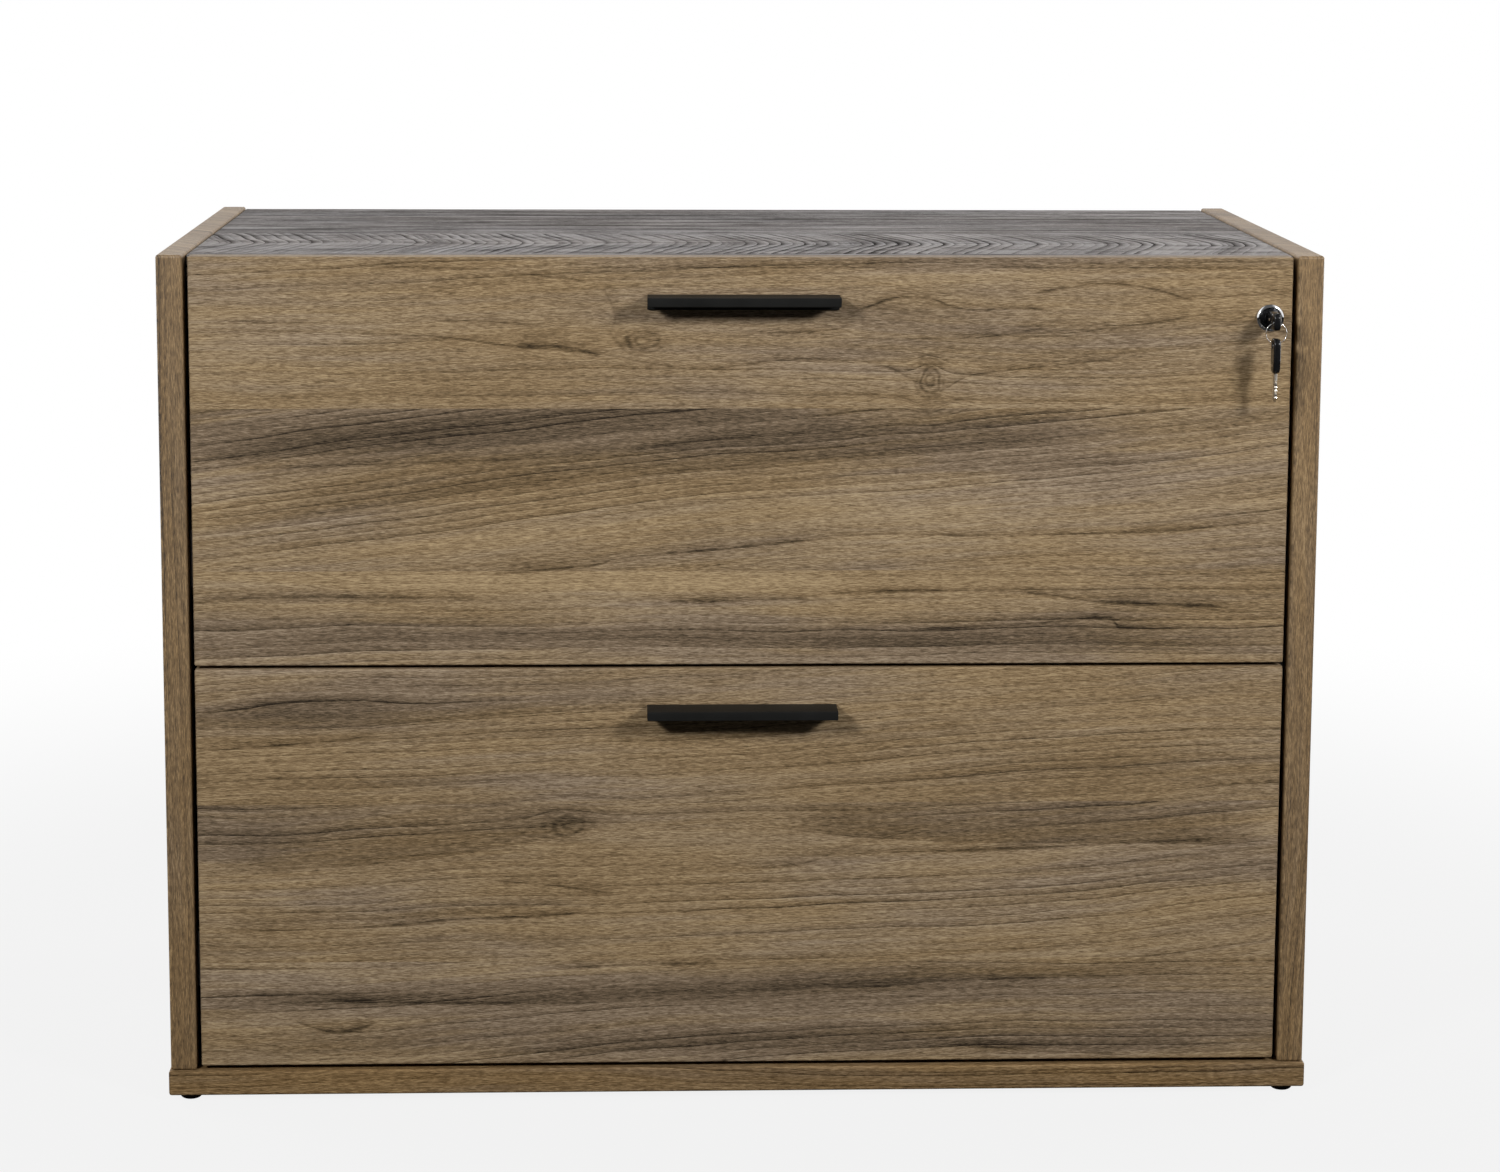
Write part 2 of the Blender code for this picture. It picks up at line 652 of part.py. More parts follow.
def make_lock(body, front):
    """Barrel and nut in the drawer front; plug, cam and key turn about the lock's axis."""
    barrel = LOCK_BARREL_DIAMETER / 2
    plug = LOCK_PLUG_DIAMETER / 2
    flange = LOCK_FLANGE_DIAMETER / 2
    tail = FRONT_THICKNESS + LOCK_BARREL_TAIL
    face = -KEY_FACE
    hole = cylinder_mesh(
        lock_point(-FRONT_THICKNESS), lock_point(2 * FRONT_THICKNESS), barrel + SEAT
    )
    cut(front, hole, "lock_hole")

    crown = LOCK_FLANGE_THICKNESS / 2
    profile = [
        (plug + SEAT, face),
        (plug + SEAT + crown, face),
        *arc((flange - crown, face + crown), crown, -60, 0),
        (flange, -SEAT),
        (barrel, -SEAT),
        (barrel, tail),
        (plug + SEAT, tail),
    ]
    bm = turned_mesh(profile, lock_point(0), (0, 1, 0), closed=True)
    add("lock_housing", bm, CHROME, lock_point(0), body, smooth=True)

    nut_front = FRONT_THICKNESS + SEAT
    outline = [
        (LOCK_X + x, LOCK_Z + z) for x, z in arc((0, 0), LOCK_NUT_RADIUS, 0, 300, steps=5)
    ]
    near = FRONT_Y + nut_front
    bm = extrusion_mesh(outline, "Y", near, near + LOCK_NUT_THICKNESS)
    nut = add("lock_nut", bm, ZINC, lock_point(nut_front), body)
    bore = cylinder_mesh(lock_point(0), lock_point(2 * tail), barrel + SEAT)
    cut(nut, bore, "bore")

    key = carrier("key_turn", lock_point(0), body)
    plug_front = face + LOCK_PLUG_RECESS
    plug_rear = tail + 2 * SEAT
    profile = [(0, plug_front), (plug, plug_front), (plug, plug_rear), (0, plug_rear)]
    bm = turned_mesh(profile, lock_point(0), (0, 1, 0))
    core = add("lock_plug", bm, CHROME, lock_point(0), key, smooth=True)
    width = BLADE_THICKNESS / 2 + KEYWAY_CLEARANCE
    height = BLADE_WIDTH / 2 + KEYWAY_CLEARANCE
    end = BLADE_LENGTH - KEY_NECK + 2 * KEYWAY_CLEARANCE
    low = lock_point(2 * face) - Vector((width, 0, height))
    high = lock_point(end) + Vector((width, 0, height))
    cut(core, box_mesh(low, high), "keyway")
    make_cam(key)
    make_keys(key)


def make_cam(key):
    """A pear-shaped plate behind the plug, with the pin that lifts the lock bar."""
    slope = math.degrees(math.asin((CAM_HUB_RADIUS - CAM_TIP_RADIUS) / CAM_THROW))
    tip = (LOCK_X - CAM_THROW, LOCK_Z)
    hub = (LOCK_X, LOCK_Z)
    outline = arc(tip, CAM_TIP_RADIUS, 90 + slope, 270 - slope, SMALL_SEGMENTS // 2)
    outline += arc(hub, CAM_HUB_RADIUS, -90 - slope, 90 + slope, SMALL_SEGMENTS)
    bm = extrusion_mesh(outline, "Y", CAM_Y, CAM_Y + CAM_THICKNESS)
    cam = add("lock_cam", bm, ZINC, lock_point(0), key)
    root = (tip[0], CAM_Y + CAM_THICKNESS / 2, tip[1])
    end = (tip[0], CAM_Y + CAM_THICKNESS + CAM_PIN_LENGTH, tip[1])
    fuse(cam, cylinder_mesh(root, end, CAM_PIN_DIAMETER / 2, SMALL_SEGMENTS), "pin")


def key_head_outline():
    """Head of a key as (along, across) points: neck at 0, ring hole towards the far end."""
    wide = KEY_HEAD_WIDTH / 2
    neck = KEY_NECK_WIDTH / 2
    points = [
        (0, -neck),
        (KEY_SHOULDER, -wide),
        (KEY_HEAD_LENGTH, -wide),
        (KEY_HEAD_LENGTH, wide),
        (KEY_SHOULDER, wide),
        (0, neck),
    ]
    corner = KEY_CORNER_RADIUS
    return filleted(points, [0, corner, corner, corner, corner, 0])


def blade_outline():
    """Blade of a key as (along, across) points: straight spine, cut edge and a sloped tip."""
    half = BLADE_WIDTH / 2
    shank = BLADE_LENGTH * BLADE_SHANK_SHARE
    tip = BLADE_LENGTH - half
    pitch = (tip - shank) / BLADE_TEETH
    swing = (1 - TOOTH_LEAST_SHARE) / 2
    flat = TOOTH_FLAT_SHARE * pitch / 2
    points = [(0, -half), (BLADE_LENGTH - half / 2, -half), (BLADE_LENGTH, -half / 3), (tip, half)]
    for tooth in reversed(range(BLADE_TEETH)):
        depth = BLADE_TOOTH_DEPTH * (1 - swing + swing * math.cos(TOOTH_TURN * tooth))
        start = shank + pitch * tooth
        centre = start + pitch / 2
        points += [(centre + flat, half - depth), (centre - flat, half - depth), (start, half)]
    return points + [(0, half)]


def make_key(name, place, along, across, parent):
    """A key whose neck is at place: head one way along, blade the other."""
    thickness = along.cross(across)
    frame = Matrix.Translation(place) @ Matrix((along, across, thickness)).transposed().to_4x4()

    def solid(outline, half):
        bm = extrusion_mesh(outline, "Z", -half, half)
        bmesh.ops.transform(bm, verts=bm.verts, matrix=frame)
        return bm

    bm = solid(key_head_outline(), KEY_HEAD_THICKNESS / 2)
    head = add(f"{name}_head", bm, BLACK_PLASTIC, place, parent)
    ease_edges(head, KEY_EDGE_RADIUS, 2)
    hole = place + along * (KEY_HEAD_LENGTH - KEY_HOLE_INSET)
    ends = (hole - thickness * KEY_HEAD_THICKNESS, hole + thickness * KEY_HEAD_THICKNESS)
    cut(head, cylinder_mesh(*ends, KEY_HOLE_DIAMETER / 2, SMALL_SEGMENTS), "hole")
    outline = [(-SEAT - run, rise) for run, rise in blade_outline()]
    add(f"{name}_blade", solid(outline, BLADE_THICKNESS / 2), CHROME, place, parent)
    return hole


def make_keys(key):
    """The key in the lock, the ring through its head and the spare key that hangs on the ring."""
    outward = Vector((0, -1, 0))
    up = Vector((0, 0, 1))
    hole = make_key("key", lock_point(-KEY_NECK), outward, up, key)
    wire = RING_WIRE_DIAMETER / 2
    bow = RING_RADIUS - math.sqrt(RING_RADIUS**2 - (KEY_HEAD_THICKNESS / 2) ** 2)
    sag = KEY_HOLE_DIAMETER / 2 * math.cos(math.pi / SMALL_SEGMENTS) - bow - wire - SEAT
    centre = hole - up * (sag + RING_RADIUS)
    circle = arc((RING_RADIUS, 0), wire, 0, 360 - 360 / WIRE_SEGMENTS, WIRE_SEGMENTS - 1)
    bm = turned_mesh(circle, centre, (0, 1, 0), closed=True)
    add("key_ring", bm, CHROME, centre, key, smooth=True)
    hang = carrier("spare_key_hang", centre, key)
    neck = centre - up * (RING_RADIUS + sag + KEY_HEAD_LENGTH - KEY_HOLE_INSET)
    make_key("spare_key", neck, up, outward, hang)


def hook_bottom(front_bottom):
    return catch_bottom(front_bottom) - CATCH_CLEARANCE - HOOK_HEIGHT


def bar_span():
    """Lowest and highest points of the lock bar at rest."""
    return hook_bottom(FRONT_LOWEST) - HOOK_HEIGHT / 2, LOCK_Z + tab_above()


def tab_above():
    """How far the tab stands above the lock's axis: slot, slack of the turning pin, and rim."""
    return CAM_PIN_DIAMETER / 2 + pin_slack() + TAB_MARGIN


def pin_slack():
    """Most that the pin's circle departs from an even lift over a quarter turn."""
    turn = math.acos(2 / math.pi)
    return CAM_THROW * (math.sin(turn) - turn / (math.pi / 2)) + SEAT


def bar_groove():
    low, high = bar_span()
    corner = (SIDE_INNER - SEAT, BAR_Y - BAR_SIDE_CLEARANCE, low - BAR_END_CLEARANCE)
    opposite = (
        BAR_X + BAR_THICKNESS + SEAT,
        BAR_Y + BAR_WIDTH + BAR_SIDE_CLEARANCE,
        high + CAM_THROW + BAR_END_CLEARANCE,
    )
    return corner, opposite


def make_lock_bar():
    """A flat bar in the side panel's groove, with a slotted tab for the cam and a hook per drawer."""
    place = Vector((BAR_X, BAR_Y, LOCK_Z))
    slide = carrier("lock_bar_slide", place)
    low, high = bar_span()
    near, far = BAR_X, BAR_X + BAR_THICKNESS
    strip = box_mesh((near, BAR_Y, low), (far, BAR_Y + BAR_WIDTH, high))
    bar = add("lock_bar", strip, ZINC, place, slide)
    inside = (near + far) / 2

    pin = CAM_PIN_DIAMETER / 2 + SEAT
    slot_low = (LOCK_X - CAM_THROW - pin, TAB_Y - TAB_THICKNESS, LOCK_Z - pin)
    slot_high = (LOCK_X + pin, TAB_Y + 2 * TAB_THICKNESS, LOCK_Z + pin + pin_slack())
    corner = (slot_low[0] - TAB_MARGIN, TAB_Y, slot_low[2] - TAB_MARGIN)
    fuse(bar, box_mesh(corner, (inside, TAB_Y + TAB_THICKNESS, high)), "tab")
    for prefix, front_bottom in (("top", UPPER_FRONT_BOTTOM), ("bottom", FRONT_LOWEST)):
        bottom = hook_bottom(front_bottom)
        corner = (SIDE_INNER - HOOK_REACH, HOOK_Y, bottom)
        opposite = (inside, HOOK_Y + HOOK_LENGTH, bottom + HOOK_HEIGHT)
        fuse(bar, box_mesh(corner, opposite), prefix + "_hook")
    cut(bar, box_mesh(slot_low, slot_high), "slot")

    front, rear = BAR_Y - GUIDE_WING, BAR_Y + BAR_WIDTH + GUIDE_WING
    level = (FRONT_LOWEST + FRONT_HIGHEST) / 2
    face = SIDE_INNER - SEAT
    corner = (face - GUIDE_WALL, front, level - GUIDE_HEIGHT / 2)
    panel("lock_bar_guide", corner, (face, rear, level + GUIDE_HEIGHT / 2), ZINC)


def main():
    clear_scene()
    make_case()
    make_glides()
    make_drawer("bottom", FRONT_LOWEST)
    body, front = make_drawer("top", UPPER_FRONT_BOTTOM)
    make_lock(body, front)
    make_lock_bar()


main()
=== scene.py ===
"""Looks of the two-drawer lateral filing unit: finishes, fine fittings, studio and camera.

Units are metres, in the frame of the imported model.
"""

import json
import math

import bmesh
import bpy
from mathutils import Matrix, Vector


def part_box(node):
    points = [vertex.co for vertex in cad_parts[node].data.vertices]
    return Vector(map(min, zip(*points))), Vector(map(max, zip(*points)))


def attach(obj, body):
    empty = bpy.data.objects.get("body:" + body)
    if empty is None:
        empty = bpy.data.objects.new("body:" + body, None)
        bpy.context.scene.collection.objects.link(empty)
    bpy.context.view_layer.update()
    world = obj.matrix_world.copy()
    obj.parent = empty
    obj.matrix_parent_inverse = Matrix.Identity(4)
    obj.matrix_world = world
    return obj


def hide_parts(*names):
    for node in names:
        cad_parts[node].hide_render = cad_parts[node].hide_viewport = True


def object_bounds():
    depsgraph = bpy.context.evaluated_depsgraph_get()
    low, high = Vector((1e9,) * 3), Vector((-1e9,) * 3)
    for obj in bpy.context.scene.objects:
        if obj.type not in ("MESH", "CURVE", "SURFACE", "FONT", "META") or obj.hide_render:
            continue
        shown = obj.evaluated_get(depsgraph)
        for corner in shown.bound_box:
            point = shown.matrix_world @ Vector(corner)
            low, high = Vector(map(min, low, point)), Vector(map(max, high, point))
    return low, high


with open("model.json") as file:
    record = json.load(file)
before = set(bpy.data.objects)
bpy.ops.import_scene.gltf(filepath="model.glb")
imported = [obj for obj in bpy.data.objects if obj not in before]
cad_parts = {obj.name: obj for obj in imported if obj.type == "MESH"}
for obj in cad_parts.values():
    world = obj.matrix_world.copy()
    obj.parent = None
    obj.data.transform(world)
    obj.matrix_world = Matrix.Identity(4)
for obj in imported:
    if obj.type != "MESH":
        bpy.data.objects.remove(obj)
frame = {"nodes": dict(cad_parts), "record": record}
CAD_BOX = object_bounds()

# Camera, fitted to the corners of the case
CAMERA_PLACE = (-0.0959, -2.8481, 0.9352)
CAMERA_YAW, CAMERA_PITCH, CAMERA_ROLL = -2.20, -8.03, 0.275
CAMERA_LENS, CAMERA_SENSOR = 81.69, 36.0
CAMERA_SHIFT_Y = -0.12

# Studio
KEY_DISTANCE, KEY_ELEVATION = 2.6, 26.0
LEFT_KEY = {"azimuth": -31.0, "size": 0.42, "power": 38.0}
RIGHT_KEY = {"azimuth": 40.0, "size": 0.48, "power": 42.0}
REAR_HEIGHT, REAR_SETBACK, REAR_SIZE, REAR_POWER = 2.3, 1.2, 1.6, 18.0
FILL_OUT, FILL_BACK, FILL_RISE, FILL_SIZE, FILL_POWER = 2.0, 1.0, 0.5, 1.2, 30.0
AMBIENT = 0.004
WALL_EDGE, WALL_GLOSS = (0.22, 0.60), (0.12, 1.0)
BACKDROP_EDGE, BACKDROP_GLOSS = (0.50, 0.85), (0.0, 1.0)
FLOOR_HALF = 12.0
FLOOR_GLOW = 0.86
FLOOR_SHOWN, FLOOR_BOUNCE = 0.25, 0.05
SHADOW_REACH = 0.7, 1.8

# Woodgrain boards
STAVE_SLIDE, STAVE_SHELF = 3.71, 5.3
WAVE, RIPPLE, ARCH_ROUND = 0.007, 0.0009, 0.025
COURSE_DEPTH, COURSE_MARGIN, COURSE_END = 0.5, 0.005, 0.15
KNOT_WOBBLE, KNOT_SPREAD, KNOT_PARTING = 0.9, 0.22, 0.8
KNOT_RIMS, KNOT_SHARPNESS = ((0.35, 0.8), (1.0, 1.0), (1.6, 0.35)), 4.5
KNOT_BREAKS = (-0.50, 0.20, 0.45, 1.0)
GROWTH_CLUSTER, GROWTH_LENGTH = (0.30, 0.62, 0.45, 1.30), (0.32, 0.64, 0.15, 1.0)
GROWTH_LUCK, GROWTH_GLINT, TAIL_POWER = 0.80, 0.30, 1.5
BAND_THIN, BAND_TAIL, BAND_RUN = 0.0010, 0.60, 1.6
LINE_TAIL, LINE_RUN = 0.30, 2.4
SMOKE_SWAY, SMOKE_WAVE = 0.30, 0.8
SMOKE_DARK, SMOKE_ON_BANDS, SMOKE_ON_LINES, SMOKE_HUE = 0.17, 0.26, 0.34, 0.40
INK_RIPPLE, INK_WAVE = 0.8, 0.12
INK_SWELL, INK_PRESS = (0.30, 0.70, 0.45, 1.4), (0.35, 0.62, 0.70, 1.15)
INK_HAZE, INK_HAZE_WIDTHS, INK_HAZE_EDGE = 0.38, 7, 0.0003
SHADE_EDGE = 0.0006
CLOUD, STRAND, FIBRE, FIBRE_BEND = 0.26, 0.14, 0.95, 0.20
PORE_DARK, PORE_EDGE = 0.15, (0.60, 0.68)
WARMTH, HUE_SHIFT = 0.36, -0.04
FIBRE_HEIGHT, PORE_HEIGHT = 0.5, -0.3
PRINT_RELIEF, PRINT_BUMP, PRINT_ROUGHNESS = 0.00010, 0.5, (0.60, 0.48)

# Fittings
SHARP_ANGLE = math.radians(38)
MERGE = 1e-6
CORNER_LIMIT = 2.02
WIRE_END = 0.4
HANDLE_WALL, HANDLE_LIP, HANDLE_FLANGE = 0.0030, 0.0072, 0.0020
HANDLE_CORNER, HANDLE_END_BEVEL, TROUGH_CORNER = 0.0007, 0.0006, 0.0012
GLIDE_EDGE, GLIDE_CHAMFER = 0.0035, 0.06
LOCK_FLANGE, LOCK_CROWN, LOCK_GAP, LOCK_OVERHANG = 0.0025, 0.0024, 0.0003, 0.0016
LOCK_CROWN_RISE, LOCK_MOUTH_WIDTH = 0.75, 0.0004
LOCK_MOUTH_INNER, LOCK_MOUTH_OUTER = 0.0009, 0.0002
PLUG_RIM, KEYWAY_GAP, KEYWAY_CORNER = 0.0004, 0.0004, 0.0004
KEY_SHOULDER, KEY_WAIST, KEY_CORNER = 0.0090, 0.0105, 0.0045
KEY_HOLE, KEY_HOLE_INSET = 0.0052, 0.0048
KEY_RIM, KEY_RIVET = 0.0014, 0.0060
BLADE_SHANK, BLADE_RIM = 0.25, 0.0002
BLADE_CUTS, BLADE_CUT_DEPTH = 5, 0.0016
CUT_MEAN, CUT_CHANGE, CUT_TURN, CUT_FLAT = 0.6, 0.4, 2.2, (0.6, 0.4)
RING_STEPS, RING_START, RING_NEST = 144, 0.6, 0.98
CROSS_ARM, CROSS_WIDTH, CROSS_TAPER, CROSS_DEPTH, CROSS_TOP = 0.62, 0.13, 0.75, 0.6, 1.1
SCREW_RIM = 0.35
PULL_SCREW_INSET, GUIDE_SCREW_INSET = 0.0110, 0.0042
CATCH_WALL, CATCH_SCREW_SETBACK = 0.0020, 0.0030
FRONT_SCREW_SHARES = {"a": 0.12, "b": 0.38, "c": 0.62, "d": 0.88}

# Radius and height, at the points of a rivet head and of the screw heads
RIVET_PROFILE = [(0.0, 0.0004), (0.0009, 0.0003), (0.0013, 0.0), (0.0013, -0.0006), (0.0, -0.0006)]
SCREW_SIZES = {
    "pull": (0.0042, 0.0022),
    "front": (0.0040, 0.0020),
    "catch": (0.0030, 0.0014),
    "guide": (0.0028, 0.0012),
}


def srgb(red, green, blue):
    """Linear colour from display values of 0 to 255."""

    def linear(value):
        value = value / 255
        return value / 12.92 if value <= 0.04045 else ((value + 0.055) / 1.055) ** 2.4

    return linear(red), linear(green), linear(blue), 1.0


class Graph:
    """A node tree, with short ways to add to it. What adds a node returns the node's output."""

    def __init__(self, tree):
        self.tree = tree

    def feed(self, socket, value):
        """Links an output to a socket, or sets the socket to a plain value."""
        if isinstance(value, bpy.types.NodeSocket):
            self.tree.links.new(value, socket)
        else:
            socket.default_value = value

    def node(self, kind, inputs, output=0, **settings):
        node = self.tree.nodes.new("ShaderNode" + kind)
        for key, value in settings.items():
            setattr(node, key, value)
        for key, value in inputs.items():
            self.feed(node.inputs[key], value)
        return node.outputs[output]

    def place(self):
        """Coordinates in metres, in the object's own frame."""
        return self.node("TexCoord", {}, "Object")

    def split(self, vector):
        return self.node("SeparateXYZ", {0: vector}).node.outputs

    def vector(self, x, y, z):
        return self.node("CombineXYZ", {0: x, 1: y, 2: z})

    def math(self, operation, *values):
        return self.node("Math", dict(enumerate(values)), operation=operation)

    def add(self, *values):
        total = values[0]
        for value in values[1:]:
            total = self.math("ADD", total, value)
        return total

    def less(self, a, b):
        return self.math("SUBTRACT", a, b)

    def times(self, a, b):
        return self.math("MULTIPLY", a, b)

    def squared(self, value):
        return self.times(value, value)

    def share(self, value, start, length):
        """How far a value lies from a start, counted in lengths."""
        return self.math("DIVIDE", self.less(value, start), length)

    def fading(self, value, rate=1.0):
        """1 where a value is 0, fading as it grows."""
        return self.math("EXPONENT", self.times(value, -rate))

    def step(self, value, low, high, to_low=0.0, to_high=1.0):
        """A smooth step between two levels, as a value passes from low to high."""
        inputs = {0: value, 1: low, 2: high, 3: to_low, 4: to_high}
        return self.node("MapRange", inputs, interpolation_type="SMOOTHSTEP")

    def noise(self, vector, scale=1.0, detail=2.0, roughness=0.5):
        inputs = {"Vector": vector, "Scale": scale, "Detail": detail, "Roughness": roughness}
        return self.node("TexNoise", inputs)

    def centred(self, noise, size):
        """A noise moved to lie about zero, from -size to size at most."""
        return self.times(self.less(noise, 0.5), 2 * size)

    def ramp(self, value, stops):
        output = self.node("ValToRGB", {0: value})
        ramp = output.node.color_ramp
        while len(ramp.elements) < len(stops):
            ramp.elements.new(1.0)
        for element, (place, colour) in zip(ramp.elements, stops):
            element.position = place
            element.color = colour
        return output


class Finish(Graph):
    """A material's node tree, with its surface shader."""

    def __init__(self, name):
        self.material = bpy.data.materials.new(name)
        self.material.use_nodes = True
        super().__init__(self.material.node_tree)
        self.shader = self.tree.nodes["Principled BSDF"]

    def bump(self, height, distance, strength):
        inputs = {"Height": height, "Distance": distance, "Strength": strength}
        self.feed(self.shader.inputs["Normal"], self.node("Bump", inputs))

    def done(self, colour, roughness, **values):
        """Feeds the shader and returns the material."""
        values |= {"Base_Color": colour, "Roughness": roughness}
        for name, value in values.items():
            self.feed(self.shader.inputs[name.replace("_", " ")], value)
        return self.material


def distance_squared(g, along, across, centre, halves):
    """Squared distance from a centre, counted in half lengths along and across."""
    run = g.share(along, centre[0], halves[0])
    rise = g.share(across, centre[1], halves[1])
    return g.add(g.squared(run), g.squared(rise))


def knot(g, along, across, wobble, centre, halves):
    """How far a knot parts the grain above and below it, and the dark rims of its eye."""
    reach = distance_squared(g, along, across, centre, halves)
    worn = g.add(g.math("SQRT", reach), wobble)
    rims = 0.0
    for radius, strength in KNOT_RIMS:
        gap = g.times(g.less(worn, radius), KNOT_SHARPNESS)
        rims = g.add(rims, g.times(g.fading(g.squared(gap)), strength))
    bell = g.times(g.fading(reach, KNOT_SPREAD), KNOT_PARTING)
    parting = g.times(g.less(across, centre[1]), bell)
    return parting, g.times(rims, g.step(wobble, *KNOT_BREAKS))


def course_gap(g, along, across, points):
    """Height above a smooth course through points, and 1 along the course, fading at its ends."""
    start, end = points[0][0], points[-1][0]
    heights = [height for place, height in points]
    low = min(heights) - COURSE_MARGIN
    span = max(heights) + COURSE_MARGIN - low
    run = g.share(along, start, end - start)
    course = g.node("FloatCurve", {"Value": run})
    curve = course.node.mapping.curves[0]
    while len(curve.points) < len(points):
        curve.points.new(0.5, 0.5)
    for mark, (place, height) in zip(curve.points, points):
        mark.location = ((place - start) / (end - start), (height - low) / span)
    course.node.mapping.update()
    gap = g.less(across, g.add(g.times(course, span), low))
    return gap, g.times(g.step(run, 0.0, COURSE_END), g.step(run, 1.0, 1 - COURSE_END))


def ink_line(g, along, across, swell, press, points, width, strength):
    """A dark smudged line through points, sharp below and fading upwards."""
    gap, ends = course_gap(g, along, across, points)
    reach = g.times(swell, width)
    stroke = g.fading(g.squared(g.math("DIVIDE", gap, reach)))
    above = g.step(gap, 0.0, INK_HAZE_EDGE)
    haze = g.times(above, g.step(gap, INK_HAZE_WIDTHS * width, 0.0, 0.0, INK_HAZE))
    smudge = g.times(g.math("MAXIMUM", g.times(stroke, press), haze), swell)
    return g.times(g.times(smudge, ends), strength)


def shade(g, along, across, points, reach, strength):
    """A dark zone above a course: crisp below, fading over its reach."""
    gap, ends = course_gap(g, along, across, points)
    zone = g.times(g.step(gap, -SHADE_EDGE, SHADE_EDGE), g.step(gap, reach, 0.0))
    return g.times(g.times(zone, ends), strength)


# Noises of the print: cells per metre along and across the grain, offset, octaves, roughness
NOISES = {
    "sway": (1.1, 3.5, 0.0, 1.0, 0.5),
    "wave": (4.5, 16.0, 9.0, 2.0, 0.5),
    "ripple": (18.0, 60.0, 17.0, 3.0, 0.5),
    "wobble": (42.0, 70.0, 53.0, 2.0, 0.5),
    "cluster": (2.6, 15.0, 61.0, 2.0, 0.5),
    "swell": (14.0, 20.0, 7.0, 2.0, 0.5),
    "press": (60.0, 90.0, 19.0, 2.0, 0.5),
    "cloud": (2.2, 26.0, 31.0, 3.0, 0.55),
    "streak": (15.0, 70.0, 71.0, 2.0, 0.6),
    "strand": (14.0, 420.0, 3.0, 2.0, 0.5),
    "fibre": (190.0, 2200.0, 13.0, 2.0, 0.6),
    "pore": (120.0, 1500.0, 5.0, 1.0, 0.5),
    "warmth": (6.0, 130.0, 83.0, 2.0, 0.5),
    "hue": (4.0, 16.0, 47.0, 2.0, 0.5),
}

# Axes along the grain, across it and through the board
BOARD_AXES = {"front": (0, 2, 1), "flat": (0, 1, 2), "upright": (2, 1, 0)}


